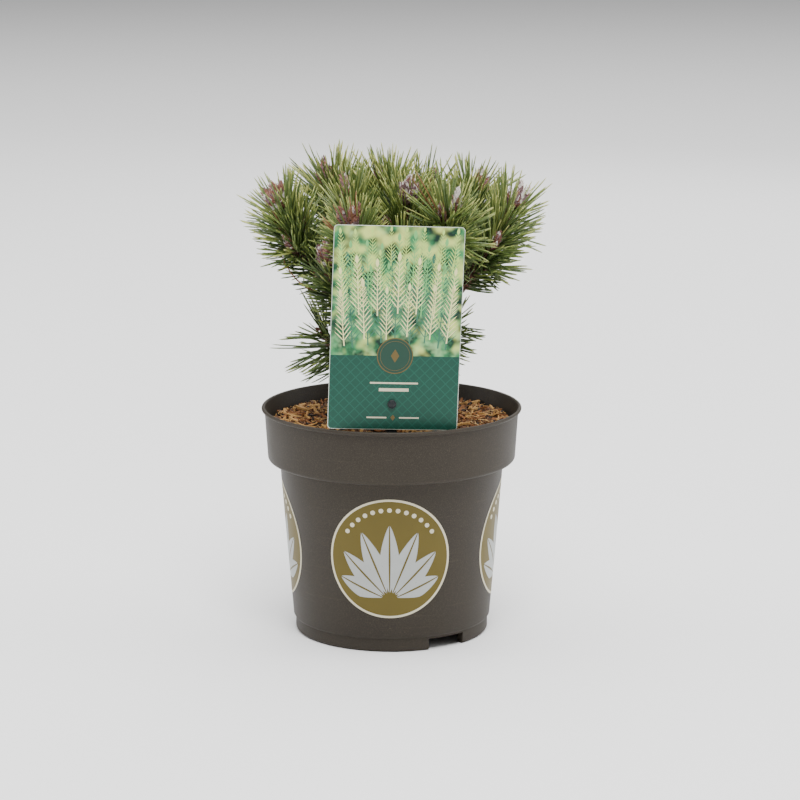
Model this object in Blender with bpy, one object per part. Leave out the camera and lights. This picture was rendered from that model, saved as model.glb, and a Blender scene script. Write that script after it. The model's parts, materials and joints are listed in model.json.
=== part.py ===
"""Mugo pine in a round nursery pot, with its plant label.

Metres, +Z up. The origin is at the centre of the pot's underside, the label faces -Y.
The pot is one thin moulded shell on a foot ring. It is filled with bark mulch, in which the
short trunk and the label's stake stand. The trunk carries twelve boughs, and each bough, like
the trunk's tip, carries one mass of shoots with needles and winter buds. Three sparse masses
grow low on the trunk itself.
"""

import math
import random
from collections import namedtuple

import bmesh
import bpy
from mathutils import Matrix, Vector, kdtree, noise

# The clear gap between solids that touch on the real plant
GAP = 0.0003

# Pot: a thin turned shell with a rolled lip, a wide collar on a level ledge and a foot ring
POT_SEGMENTS = 36
POT_HEIGHT = 0.167
RIM_RADIUS = 0.095
LIP_RADIUS = 0.0014
WALL = 0.0013
COLLAR_TOP_RADIUS = 0.0928
COLLAR_FOOT_RADIUS = 0.0906
COLLAR_DEPTH = 0.0395
COLLAR_FILLET = 0.003
BODY_TOP_RADIUS = 0.0819
BODY_FOOT_RADIUS = 0.0724
STEP_HEIGHT = 0.0105
FOOT_RADIUS = 0.0708
FOOT_FILLET = 0.0022
FOOT_RING_WIDTH = 0.0042
FLOOR_UNDERSIDE = 0.0092
FLOOR_THICKNESS = 0.0014
CENTRE_FOOT_RADIUS = 0.015

# Openings in the foot of the pot
NOTCH_AZIMUTHS = (-55.3, 124.7)
NOTCH_WIDTH = 0.030
NOTCH_HEIGHT = 0.0086
DRAIN_COUNT = 6
DRAIN_RADIUS = 0.0045
DRAIN_SIDES = 8
DRAIN_CIRCLE = 0.044

# Bark mulch that fills the pot
MULCH_DEPTH = 0.0135
MULCH_MOUND = 0.006
MULCH_BUMP = 0.0016
MULCH_BUMPS_PER_METRE = 90
MULCH_RINGS = (0.082, 0.066, 0.050, 0.035)
SEAT_RADIUS = 0.021

# Label card on its stake
CARD_WIDTH = 0.092
CARD_HEIGHT = 0.145
CARD_THICKNESS = 0.0005
CARD_CORNER = 0.0028
CARD_LEAN = math.radians(2.2)
CARD_TURN = math.radians(6)
CARD_HOLE = Vector((0.0004, -0.080, 0.1846))
HOLE_FROM_CENTRELINE = 0.001
HOLE_ABOVE_EDGE = 0.0184
HOLE_RADIUS = 0.0022
KNOB_NECK_RADIUS = 0.0018
KNOB_RADIUS = 0.0031
KNOB_TOP_RADIUS = 0.0022
KNOB_SHOULDER = 0.0011
KNOB_HEIGHT = 0.0018
KNOB_SEGMENTS = 16
STAKE_WIDTH = 0.007
STAKE_THICKNESS = 0.002
STAKE_TOP = 0.193
STAKE_POINT = 0.132
STAKE_SHOULDER = 0.139

# Trunk, from a flat cut at the mulch to the tip that the middle mass grows on from
TRUNK_FOOT = Vector((0.004, 0.008, 0.0))
TRUNK_TIP = Vector((0.008, 0.000, 0.262))
TRUNK_BOW = Vector((-0.004, 0.002, 0.0))
TRUNK_RADIUS = 0.0088
TRUNK_TIP_RADIUS = 0.0034
ROOT_FLARE = 0.0062
ROOT_FLARE_HEIGHT = 0.010
ROOT_FLARE_FALL = 1.6
ROOT_FLARE_STEPS = (0.0, 0.25, 0.6, 1.1, 2.0)
ROOT_LOBES = 5
TRUNK_STEPS = 5

# Boughs: height of the foot on the trunk, direction, reach and height of the leading bud
Bough = namedtuple("Bough", "foot azimuth reach crown shoots")
BOUGHS = {
    "left": Bough(0.190, 185, 0.087, 0.325, 2),
    "right": Bough(0.194, -5, 0.090, 0.325, 2),
    "back": Bough(0.188, 99, 0.083, 0.318, 2),
    "front": Bough(0.182, -86, 0.066, 0.300, 2),
    "back_left": Bough(0.203, 134, 0.069, 0.335, 2),
    "front_left": Bough(0.209, 245, 0.070, 0.315, 2),
    "front_right": Bough(0.202, -48, 0.063, 0.325, 2),
    "back_right": Bough(0.206, 31, 0.073, 0.329, 2),
    "low_left": Bough(0.176, 220, 0.064, 0.288, 1),
    "far_back": Bough(0.222, 66, 0.070, 0.326, 1),
    "inner_back": Bough(0.240, 108, 0.034, 0.335, 1),
    "inner_left": Bough(0.224, 186, 0.037, 0.331, 1),
}
BOUGH_SWEEP = 1.3
BOUGH_RADIUS = 0.0033
BOUGH_RADIUS_PER_REACH = 0.011
BOUGH_TAPER = 0.76
BOUGH_SHARE = 0.44
BOUGH_SWAY = 0.005
BOUGH_STEPS = 6

# Masses that grow from the trunk: the leader on its tip, and three sparse ones low down
Sprig = namedtuple("Sprig", "foot azimuth reach crown shoots")
LEADER_TIP = Vector((0.012, -0.010, 0.330))
LOW_SPRIGS = {
    "sprig_left": Sprig(0.169, 188, 0.064, 0.236, 0),
    "sprig_right": Sprig(0.175, 2, 0.052, 0.245, 0),
    "sprig_back": Sprig(0.171, 84, 0.054, 0.240, 0),
}

# Shoots: a leader and its side shoots, each ending in a winter bud
LEADER_STEPS = 7
SIDE_SHOOT_STEPS = 4
SHOOT_RADIUS = 0.0029
SHOOT_TAPER = 0.15
SIDE_SHOOT_RADIUS = 0.0022
SIDE_SHOOT_LENGTH = 0.030
SIDE_SHOOT_SPREAD = math.radians(44)
SIDE_SHOOT_TURN = math.radians(72)
SIDE_SHOOT_LIFT = 0.45
SIDE_SHOOT_START = 0.32
SIDE_SHOOT_STEP = 0.20
SIDE_SHOOT_LOOSENESS = 0.08
SIDE_SHOOT_CLEAR = 0.014
SIDE_SHOOT_TRIES = 9
LEADER_SHOOTS = 2
BUD_LENGTH = 0.017
BUD_RADIUS = 0.0030
BUD_PROFILE = ((1.0, 0.62), (0.66, 1.0), (0.25, 0.8), (0.0, 0.0))
SIDE_BUDS = 2
SIDE_BUD_LENGTH = 0.012
SIDE_BUD_RADIUS = 0.0021
SIDE_BUD_LEAN = 0.5
GOLDEN_ANGLE = math.pi * (3 - math.sqrt(5))

# Sprays of needles: thin blades with three teeth, each tooth standing for a pair of needles
NEEDLE_LENGTH = 0.031
TIP_NEEDLE_LENGTH = 0.039
LOW_NEEDLE_LENGTH = 0.041
LENGTH_SHARES = (0.88, 1.06)
SHORTER = (1.0, 0.85, 0.7, 0.55)
SPRAY_FAN = math.radians(17)
SPRAY_SPREAD = math.radians(68)
TIP_SPREAD = math.radians(38)
SPREAD_LOOSENESS = math.radians(7)
SPRAY_LIFT = 0.06
SPRAY_ROOT_WIDTH = 0.0022
SPRAY_ROOT_DEPTH = 0.3
SPRAY_THICKNESS = 0.0016
SPRAY_THICKEST = 0.13
NOTCH_SHARE = 0.36
SPRAY_START = 0.06
SIDE_SPRAY_START = 0.2
LOW_SPRAY_START = 0.35
SPRAY_SPACING = 0.00595
SPRAY_CLEAR = 0.0016
LIMB_CLEAR = 0.0016
SKIN_STEP = 0.0025
LIMB_SKIN_STEP = 0.0015

# Space kept free round the label card and over the pot
CARD_CLEAR_Y = -0.0735
CARD_CLEAR_HALF_WIDTH = 0.052
CARD_CLEAR_TOP = 0.318
RIM_CLEAR_Z = POT_HEIGHT + 0.006

COLOURS = {
    "pot": ((0.100, 0.086, 0.075), 0.42),
    "mulch": ((0.190, 0.085, 0.035), 0.95),
    "card": ((0.050, 0.185, 0.135), 0.35),
    "stake": ((0.090, 0.100, 0.105), 0.45),
    "bark": ((0.130, 0.065, 0.042), 0.90),
    "needles": ((0.085, 0.165, 0.030), 0.55),
}


def clear_scene():
    """Remove every object, so that the script starts from nothing."""
    for obj in list(bpy.data.objects):
        bpy.data.objects.remove(obj, do_unlink=True)


def make_material(name):
    """A Principled material with the named part's colour and roughness."""
    colour, roughness = COLOURS[name]
    mat = bpy.data.materials.new(name)
    mat.use_nodes = True
    shader = mat.node_tree.nodes["Principled BSDF"]
    shader.inputs["Base Color"].default_value = (*colour, 1.0)
    shader.inputs["Roughness"].default_value = roughness
    shader.inputs["Metallic"].default_value = 0.0
    return mat


def add_object(name, bm, mat=None, smooth_angle=None):
    """Turn a bmesh into a named object with its own material."""
    mesh = bpy.data.meshes.new(name)
    bm.to_mesh(mesh)
    bm.free()
    obj = bpy.data.objects.new(name, mesh)
    bpy.context.scene.collection.objects.link(obj)
    if mat is not None:
        mesh.materials.append(mat)
    if smooth_angle is not None:
        mesh.shade_smooth()
        mesh.set_sharp_from_angle(angle=math.radians(smooth_angle))
    return obj


def as_cutter(obj):
    """Mark an object as a cutting tool that isn't part of the model."""
    obj.display_type = "WIRE"
    obj.hide_render = True
    return obj


def add_boolean(obj, tool, operation):
    """Add a Boolean modifier with a tool object."""
    mod = obj.modifiers.new(operation.title(), "BOOLEAN")
    mod.object = tool
    mod.operation = operation
    mod.solver = "EXACT"
    return mod


def apply_modifiers(obj):
    """Replace an object's mesh by what its modifiers make of it."""
    graph = bpy.context.evaluated_depsgraph_get()
    graph.update()
    made = bpy.data.meshes.new_from_object(obj.evaluated_get(graph))
    obj.modifiers.clear()
    obj.data = made


# Turned shapes

def arc(centre_r, centre_z, radius, start, end, steps):
    """Points on an arc of a profile, from one angle to another in degrees."""
    angles = [math.radians(start + (end - start) * i / steps) for i in range(steps + 1)]
    return [(centre_r + radius * math.cos(a), centre_z + radius * math.sin(a)) for a in angles]


def turned(profile, segments):
    """Turn a profile of (radius, height) points round the Z axis."""
    bm = bmesh.new()
    verts = [bm.verts.new((r, 0.0, z)) for r, z in profile]
    edges = [bm.edges.new(pair) for pair in zip(verts, verts[1:])]
    bmesh.ops.spin(
        bm,
        geom=verts + edges,
        cent=(0.0, 0.0, 0.0),
        axis=(0.0, 0.0, 1.0),
        angle=math.tau,
        steps=segments,
        use_merge=True,
    )
    bmesh.ops.remove_doubles(bm, verts=bm.verts, dist=1e-6)
    bmesh.ops.recalc_face_normals(bm, faces=bm.faces)
    return bm


def pot_outside():
    """The pot's outer profile, from the inner edge of the lip down to the foot ring."""
    lip_z = POT_HEIGHT - LIP_RADIUS
    ledge = POT_HEIGHT - COLLAR_DEPTH
    points = arc(RIM_RADIUS - LIP_RADIUS, lip_z, LIP_RADIUS, 180, 0, 4)
    points.append((COLLAR_TOP_RADIUS, lip_z - LIP_RADIUS))
    fillet_centre = COLLAR_FOOT_RADIUS - COLLAR_FILLET
    points += arc(fillet_centre, ledge + COLLAR_FILLET, COLLAR_FILLET, 0, -90, 3)
    points.append((BODY_TOP_RADIUS, ledge))
    points.append((BODY_FOOT_RADIUS, STEP_HEIGHT + WALL))
    points.append((FOOT_RADIUS, STEP_HEIGHT - WALL))
    points += arc(FOOT_RADIUS - FOOT_FILLET, FOOT_FILLET, FOOT_FILLET, 0, -90, 2)
    return points


def pot_inside(clear=0.0):
    """The pot's inner profile from its floor up to the lip, moved inwards by a clearance."""
    ledge = POT_HEIGHT - COLLAR_DEPTH + WALL + clear
    inset = WALL + clear
    return [
        (FOOT_RADIUS - inset, FLOOR_UNDERSIDE + FLOOR_THICKNESS + clear),
        (BODY_FOOT_RADIUS - inset, STEP_HEIGHT + 3 * WALL + clear),
        (BODY_TOP_RADIUS - inset, ledge),
        (COLLAR_FOOT_RADIUS - inset - WALL, ledge),
        (COLLAR_FOOT_RADIUS - inset, ledge + WALL),
        (COLLAR_TOP_RADIUS - inset, POT_HEIGHT - 2 * LIP_RADIUS),
    ]


def inner_radius(height):
    """Radius of the pot's inner wall at a height."""
    points = pot_inside()
    for (r0, z0), (r1, z1) in zip(points, points[1:]):
        if z0 <= height <= z1:
            return r0 + (r1 - r0) * (height - z0) / (z1 - z0)
    return points[-1][0]


def pot_openings():
    """Cutter for the notches in the foot ring and the drain holes in the floor."""
    bm = bmesh.new()
    for azimuth in NOTCH_AZIMUTHS:
        turn = Matrix.Rotation(math.radians(azimuth), 4, "Z")
        size = Matrix.Diagonal((4 * FOOT_RING_WIDTH, NOTCH_WIDTH, 2 * NOTCH_HEIGHT, 1.0))
        place = turn @ Matrix.Translation((FOOT_RADIUS, 0.0, 0.0)) @ size
        bmesh.ops.create_cube(bm, size=1.0, matrix=place)
    for i in range(DRAIN_COUNT):
        turn = Matrix.Rotation(math.tau * (i + 0.5) / DRAIN_COUNT, 4, "Z")
        place = turn @ Matrix.Translation((DRAIN_CIRCLE, 0.0, FLOOR_UNDERSIDE))
        bmesh.ops.create_cone(
            bm,
            cap_ends=True,
            segments=DRAIN_SIDES,
            radius1=DRAIN_RADIUS,
            radius2=DRAIN_RADIUS,
            depth=4 * FLOOR_THICKNESS,
            matrix=place,
        )
    return as_cutter(add_object("pot_openings", bm))


def build_pot(mat):
    """The moulded pot: one shell with a floor, a foot ring and a foot in the middle."""
    floor_top = FLOOR_UNDERSIDE + FLOOR_THICKNESS
    ring_inside = FOOT_RADIUS - FOOT_FILLET - FOOT_RING_WIDTH
    profile = [(0.0, floor_top)]
    profile += pot_inside()
    profile += pot_outside()
    profile += [
        (ring_inside, 0.0),
        (ring_inside, FLOOR_UNDERSIDE),
        (CENTRE_FOOT_RADIUS, FLOOR_UNDERSIDE),
        (CENTRE_FOOT_RADIUS, 0.0),
        (0.0, 0.0),
    ]
    pot = add_object("pot", turned(profile, POT_SEGMENTS), mat, smooth_angle=35)
    add_boolean(pot, pot_openings(), "DIFFERENCE")
    return pot


def mulch_level(x, y):
    """Height of the mulch at a place: a low mound with bumps, flat where the trunk stands."""
    radius = math.hypot(x, y)
    mound = MULCH_MOUND * (1 - min(1.0, radius / RIM_RADIUS) ** 2)
    level = POT_HEIGHT - MULCH_DEPTH
    if math.hypot(x - TRUNK_FOOT.x, y - TRUNK_FOOT.y) < SEAT_RADIUS:
        return level + MULCH_MOUND
    bump = MULCH_BUMP * noise.noise(Vector((x, y, SEAT_RADIUS)) * MULCH_BUMPS_PER_METRE)
    return level + mound + bump


def stake_front():
    """How far the stake's front lies behind the front of the card."""
    return CARD_THICKNESS + GAP


def stand_at_hole(obj):
    """Stand an upright piece at the card's hole, turned as the card is."""
    obj.location = (CARD_HOLE.x, CARD_HOLE.y, 0.0)
    obj.rotation_euler = (0.0, 0.0, CARD_TURN)
    return obj


def stake_pocket():
    """Cutter for the slot in the mulch that the stake stands in."""
    bm = bmesh.new()
    height = POT_HEIGHT - STAKE_POINT
    size = (STAKE_WIDTH + 4 * GAP, STAKE_THICKNESS + 4 * GAP, height + 2 * GAP)
    middle = (0.0, stake_front() + STAKE_THICKNESS / 2, STAKE_POINT + height / 2)
    place = Matrix.Translation(middle) @ Matrix.Diagonal((*size, 1.0))
    bmesh.ops.create_cube(bm, size=1.0, matrix=place)
    return stand_at_hole(as_cutter(add_object("stake_pocket", bm)))


def build_mulch(mat):
    """Bark mulch and soil that fill the pot, with a seat for the trunk and a slot for the stake."""
    level = POT_HEIGHT - MULCH_DEPTH
    edge = inner_radius(level) - 2 * GAP
    side = [p for p in pot_inside(clear=2 * GAP) if p[1] < level]
    profile = [(0.0, side[0][1])] + side + [(edge, level)]
    profile += [(r, level) for r in MULCH_RINGS + (SEAT_RADIUS, 0.0)]
    bm = turned(profile, POT_SEGMENTS)
    for vert in bm.verts:
        x, y, z = vert.co
        if abs(z - level) < 1e-6 and math.hypot(x, y) < edge - 1e-4:
            vert.co.z = mulch_level(x, y)
    mulch = add_object("mulch", bm, mat)
    add_boolean(mulch, stake_pocket(), "DIFFERENCE")
    return mulch


# Label

def rounded_rectangle(left, right, bottom, top, radius, steps):
    """Corner points of a rounded rectangle in the XZ plane, anticlockwise."""
    corners = (
        (right - radius, bottom + radius, -90),
        (right - radius, top - radius, 0),
        (left + radius, top - radius, 90),
        (left + radius, bottom + radius, 180),
    )
    points = []
    for x, z, start in corners:
        points += arc(x, z, radius, start, start + 90, steps)
    return points


def build_card(mat):
    """The label card: a thin plate with round corners and a hole that the knob goes through."""
    left = HOLE_FROM_CENTRELINE - CARD_WIDTH / 2
    bottom = -HOLE_ABOVE_EDGE
    outline = rounded_rectangle(
        left, left + CARD_WIDTH, bottom, bottom + CARD_HEIGHT, CARD_CORNER, 3
    )
    bm = bmesh.new()
    face = bm.faces.new([bm.verts.new((x, 0.0, z)) for x, z in outline])
    made = bmesh.ops.extrude_face_region(bm, geom=[face])
    moved = [g for g in made["geom"] if isinstance(g, bmesh.types.BMVert)]
    bmesh.ops.translate(bm, verts=moved, vec=(0.0, CARD_THICKNESS, 0.0))
    bmesh.ops.recalc_face_normals(bm, faces=bm.faces)
    card = add_object("label_card", bm, mat)
    card.location = CARD_HOLE
    card.rotation_euler = (0.0, CARD_LEAN, CARD_TURN)
    tool = bmesh.new()
    across = Matrix.Rotation(CARD_TURN, 4, "Z") @ Matrix.Rotation(math.pi / 2, 4, "X")
    bmesh.ops.create_cone(
        tool,
        cap_ends=True,
        segments=KNOB_SEGMENTS,
        radius1=HOLE_RADIUS,
        radius2=HOLE_RADIUS,
        depth=8 * CARD_THICKNESS,
        matrix=Matrix.Translation(CARD_HOLE) @ across,
    )
    add_boolean(card, as_cutter(add_object("card_hole", tool)), "DIFFERENCE")
    return card


def build_stake(mat):
    """The stake: a flat pointed bar behind the card, with a knob that holds the card."""
    front = stake_front()
    half = STAKE_WIDTH / 2
    outline = [
        (0.0, STAKE_POINT),
        (half, STAKE_SHOULDER),
        (half, STAKE_TOP),
        (-half, STAKE_TOP),
        (-half, STAKE_SHOULDER),
    ]
    bm = bmesh.new()
    face = bm.faces.new([bm.verts.new((x, front, z)) for x, z in outline])
    made = bmesh.ops.extrude_face_region(bm, geom=[face])
    moved = [g for g in made["geom"] if isinstance(g, bmesh.types.BMVert)]
    bmesh.ops.translate(bm, verts=moved, vec=(0.0, STAKE_THICKNESS, 0.0))
    bmesh.ops.recalc_face_normals(bm, faces=bm.faces)
    stake = add_object("label_stake", bm, mat, smooth_angle=35)
    neck = STAKE_THICKNESS / 2 + 2 * GAP + CARD_THICKNESS
    profile = [
        (0.0, 0.0),
        (KNOB_NECK_RADIUS, 0.0),
        (KNOB_NECK_RADIUS, neck),
        (KNOB_RADIUS, neck),
        (KNOB_RADIUS, neck + KNOB_SHOULDER),
        (KNOB_TOP_RADIUS, neck + KNOB_HEIGHT),
        (0.0, neck + KNOB_HEIGHT),
    ]
    knob_bm = turned(profile, KNOB_SEGMENTS)
    root = Vector((0.0, front + STAKE_THICKNESS / 2, CARD_HOLE.z))
    knob_bm.transform(Matrix.Translation(root) @ Matrix.Rotation(math.pi / 2, 4, "X"))
    knob = add_object("knob", knob_bm)
    add_boolean(stake, knob, "UNION")
    apply_modifiers(stake)
    bpy.data.objects.remove(knob, do_unlink=True)
    return stand_at_hole(stake)


# Limbs

def direction(azimuth):
    """Level unit vector at an azimuth in degrees from +X towards +Y."""
    angle = math.radians(azimuth)
    return Vector((math.cos(angle), math.sin(angle), 0.0))


def trunk_cut():
    """Height of the flat cut under the trunk."""
    return POT_HEIGHT - MULCH_DEPTH + MULCH_MOUND + GAP


def trunk_point(height):
    """Middle of the trunk at a height: a line with a slight bow."""
    share = (height - trunk_cut()) / (TRUNK_TIP.z - trunk_cut())
    point = TRUNK_FOOT.lerp(TRUNK_TIP, share) + TRUNK_BOW * math.sin(math.pi * share)
    return Vector((point.x, point.y, height))


def trunk_radius(height):
    """Radius of the trunk at a height, without its root flare."""
    share = (height - trunk_cut()) / (TRUNK_TIP.z - trunk_cut())
    return TRUNK_RADIUS + (TRUNK_TIP_RADIUS - TRUNK_RADIUS) * share


def tube(points, radii, sides, lobes=None):
    """A closed tube round a path. The optional lobes widen it ring by ring, as a root flare."""
    bm = bmesh.new()
    tangents = []
    for i, point in enumerate(points):
        ahead = points[min(i + 1, len(points) - 1)]
        behind = points[max(i - 1, 0)]
        tangents.append((ahead - behind).normalized())
    normal = tangents[0].orthogonal().normalized()
    rings = []
    for i, (point, radius, tangent) in enumerate(zip(points, radii, tangents)):
        normal = (normal - tangent * normal.dot(tangent)).normalized()
        side = tangent.cross(normal)
        if radius <= 0.0:
            rings.append([bm.verts.new(point)])
            continue
        ring = []
        for k in range(sides):
            angle = math.tau * k / sides
            reach = radius
            if lobes is not None:
                reach += lobes[i] * (0.5 + 0.5 * math.cos(ROOT_LOBES * angle))
            offset = normal * math.cos(angle) + side * math.sin(angle)
            ring.append(bm.verts.new(point + offset * reach))
        rings.append(ring)
    for low, high in zip(rings, rings[1:]):
        if len(high) == 1:
            for k in range(sides):
                bm.faces.new((low[k], low[(k + 1) % sides], high[0]))
            continue
        for k in range(sides):
            n = (k + 1) % sides
            bm.faces.new((low[k], low[n], high[n], high[k]))
    bm.faces.new(list(reversed(rings[0])))
    if len(rings[-1]) > 1:
        bm.faces.new(rings[-1])
    bmesh.ops.recalc_face_normals(bm, faces=bm.faces)
    return bm


def trunk_tube(extra=0.0):
    """The trunk's solid, or the same widened a little for cutting the boughs' feet."""
    cut = trunk_cut()
    heights = [cut + ROOT_FLARE_HEIGHT * s for s in ROOT_FLARE_STEPS]
    rise = (TRUNK_TIP.z - heights[-1]) / TRUNK_STEPS
    heights += [heights[-1] + rise * i for i in range(1, TRUNK_STEPS + 1)]
    points = [trunk_point(z) for z in heights]
    points[0].z -= extra
    points[-1].z += extra
    radii = [trunk_radius(z) + extra for z in heights]
    fall = ROOT_FLARE_FALL / ROOT_FLARE_HEIGHT
    lobes = [ROOT_FLARE * math.exp(-(z - cut) * fall) for z in heights]
    lobes[-1] = 0.0
    bm = tube(points, radii, 2 * ROOT_LOBES, lobes)
    for vert in bm.verts:
        if vert.co.z < cut + ROOT_FLARE_HEIGHT * 0.1:
            vert.co.z = cut - extra
    return bm


def limb_point(limb, share):
    """A point on a bough, or on the leader that goes on from it, at a share of the way."""
    out = direction(limb.azimuth)
    side = Vector((-out.y, out.x, 0.0))
    reach = limb.reach * (1 - (1 - share) ** BOUGH_SWEEP)
    rise = (limb.crown - limb.foot) * share
    sway = BOUGH_SWAY * math.sin(math.tau * share + limb.azimuth)
    return trunk_point(limb.foot) + out * reach + side * sway * share + Vector((0, 0, rise))


def limb_path(limb, start, end, steps):
    """Points along a bough between two shares of the way."""
    return [limb_point(limb, start + (end - start) * i / steps) for i in range(steps + 1)]


def bough_radius(limb):
    """Radius of a bough at its foot: the further it reaches, the stouter it is."""
    return BOUGH_RADIUS + BOUGH_RADIUS_PER_REACH * limb.reach


def build_bough(name, limb, cutter, mat):
    """One tapering bough from the trunk to where its mass of needles begins."""
    points = limb_path(limb, 0.0, BOUGH_SHARE, BOUGH_STEPS)
    steps = len(points) - 1
    foot = bough_radius(limb)
    radii = [foot * (1 + (BOUGH_TAPER - 1) * i / steps) for i in range(steps + 1)]
    bough = add_object("bough_" + name, tube(points, radii, 6), mat, smooth_angle=60)
    add_boolean(bough, cutter, "DIFFERENCE")
    return bough


# Shoots and their sprays of needles

def skin_points(points, step=SKIN_STEP):
    """Points spread evenly along a path, for measuring distances to it."""
    spread = []
    for a, b in zip(points, points[1:]):
        count = max(1, math.ceil((b - a).length / step))
        spread += [a.lerp(b, i / count) for i in range(count)]
    spread.append(points[-1])
    return spread


def tree_of(points):
    """A search tree over points."""
    tree = kdtree.KDTree(len(points))
    for i, point in enumerate(points):
        tree.insert(point, i)
    tree.balance()
    return tree


def leader_paths():
    """The leading shoot of each mass, starting a gap past its bough or inside the trunk."""
    paths = {}
    for name, limb in BOUGHS.items():
        points = limb_path(limb, BOUGH_SHARE, 1.0, LEADER_STEPS)
        ahead = (points[1] - points[0]).normalized()
        points[0] = points[0] + ahead * GAP
        paths["needles_" + name] = points
    start = TRUNK_TIP + Vector((0.0, 0.0, GAP))
    rise = (LEADER_TIP - start) / LEADER_STEPS
    paths["needles_leader"] = [start + rise * i for i in range(LEADER_STEPS + 1)]
    for name, limb in LOW_SPRIGS.items():
        paths["needles_" + name] = limb_path(limb, 0.0, 1.0, LEADER_STEPS)
    return paths


def side_shoot(leader, share, phase):
    """A side shoot that leaves its leader at a share of the way and turns up at its end.

    The phase is its angle round the leader, from the side that faces away from the trunk.
    """
    index = share * (len(leader) - 1)
    low = int(index)
    root = leader[low].lerp(leader[low + 1], index - low)
    along = (leader[low + 1] - leader[low]).normalized()
    away = root - trunk_point(min(root.z, TRUNK_TIP.z))
    normal = (away - along * away.dot(along)).normalized()
    normal.rotate(Matrix.Rotation(phase, 3, along))
    start = along * math.cos(SIDE_SHOOT_SPREAD) + normal * math.sin(SIDE_SHOOT_SPREAD)
    points = [root]
    for i in range(1, SIDE_SHOOT_STEPS + 1):
        lift = SIDE_SHOOT_LIFT * i / SIDE_SHOOT_STEPS
        heading = start.lerp(Vector((0.0, 0.0, 1.0)), lift).normalized()
        points.append(points[-1] + heading * SIDE_SHOOT_LENGTH / SIDE_SHOOT_STEPS)
    return points


def plan_shoots():
    """Leaders and side shoots of every mass, each side shoot clear of the other masses."""
    leaders = leader_paths()
    counts = {"needles_" + name: limb.shoots for name, limb in BOUGHS.items()}
    counts["needles_leader"] = LEADER_SHOOTS
    taken = {name: skin_points(path) for name, path in leaders.items()}
    shoots = {name: [path] for name, path in leaders.items()}
    for order, (name, path) in enumerate(leaders.items()):
        rng = random.Random(order + 3)
        others = tree_of([p for other, pts in taken.items() if other != name for p in pts])
        for i in range(counts.get(name, 0)):
            phase = SIDE_SHOOT_TURN * (-1) ** (i + order) + rng.uniform(-0.2, 0.2)
            for _ in range(SIDE_SHOOT_TRIES):
                share = SIDE_SHOOT_START + SIDE_SHOOT_STEP * i
                share += rng.uniform(0.0, SIDE_SHOOT_LOOSENESS)
                branch = side_shoot(path, share, phase)
                phase += GOLDEN_ANGLE
                clear = min(others.find(p)[2] for p in skin_points(branch))
                own = min((branch[-1] - p).length for p in skin_points(shoots[name][-1]))
                if clear > SIDE_SHOOT_CLEAR and own > SIDE_SHOOT_CLEAR:
                    shoots[name].append(branch)
                    taken[name] += skin_points(branch)
                    break
    return shoots


class Space:
    """The space that one mass keeps to, away from other masses, limbs, card and pot."""

    def __init__(self, name, shoots, limbs):
        own = shoots[name]
        rest = [path for other, paths in shoots.items() if other != name for path in paths]
        self.own = tree_of([p for path in own for p in skin_points(path)])
        self.rest = tree_of([p for path in rest for p in skin_points(path)])
        skins = [(skin_points(path, LIMB_SKIN_STEP), radius) for path, radius in limbs]
        self.limbs = tree_of([p for skin, _ in skins for p in skin])
        self.limb_radii = [radius for skin, radius in skins for _ in skin]

    def holds(self, point):
        """Whether a needle may pass through a point."""
        own = self.own.find(point)[2]
        if own > self.rest.find(point)[2] - SPRAY_CLEAR:
            return False
        _, index, distance = self.limbs.find(point)
        if distance < self.limb_radii[index] + LIMB_CLEAR:
            return False
        by_card = point.y < CARD_CLEAR_Y and abs(point.x) < CARD_CLEAR_HALF_WIDTH
        if by_card and point.z < CARD_CLEAR_TOP:
            return False
        return point.z > RIM_CLEAR_Z


def spray_points(root, heading, across, length):
    """Outline of a spray, from one side of its root round its three tips to the other."""
    up = Vector((0.0, 0.0, SPRAY_LIFT * length))

    def ray(angle, reach):
        way = heading * math.cos(angle) + across * math.sin(angle)
        return root + way * length * reach + up * reach ** 2

    foot = across * SPRAY_ROOT_WIDTH / 2
    return [
        root - foot,
        ray(-SPRAY_FAN, 0.95),
        ray(-SPRAY_FAN / 2, NOTCH_SHARE),
        ray(0.0, 1.0),
        ray(SPRAY_FAN / 2, NOTCH_SHARE),
        ray(SPRAY_FAN, 0.92),
        root + foot,
    ]


def spray_mesh(outline, normal):
    """A closed blade inside an outline, thickest near its root and sharp at its edges."""
    middle = (outline[0] + outline[-1]) / 2
    middle = middle.lerp(outline[3], SPRAY_THICKEST)
    bm = bmesh.new()
    ring = [bm.verts.new(p) for p in outline]
    for way in (0.5, -0.5):
        top = bm.verts.new(middle + normal * SPRAY_THICKNESS * way)
        for a, b in zip(ring, ring[1:] + ring[:1]):
            bm.faces.new((a, b, top))
    bmesh.ops.recalc_face_normals(bm, faces=bm.faces)
    return bm


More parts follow.
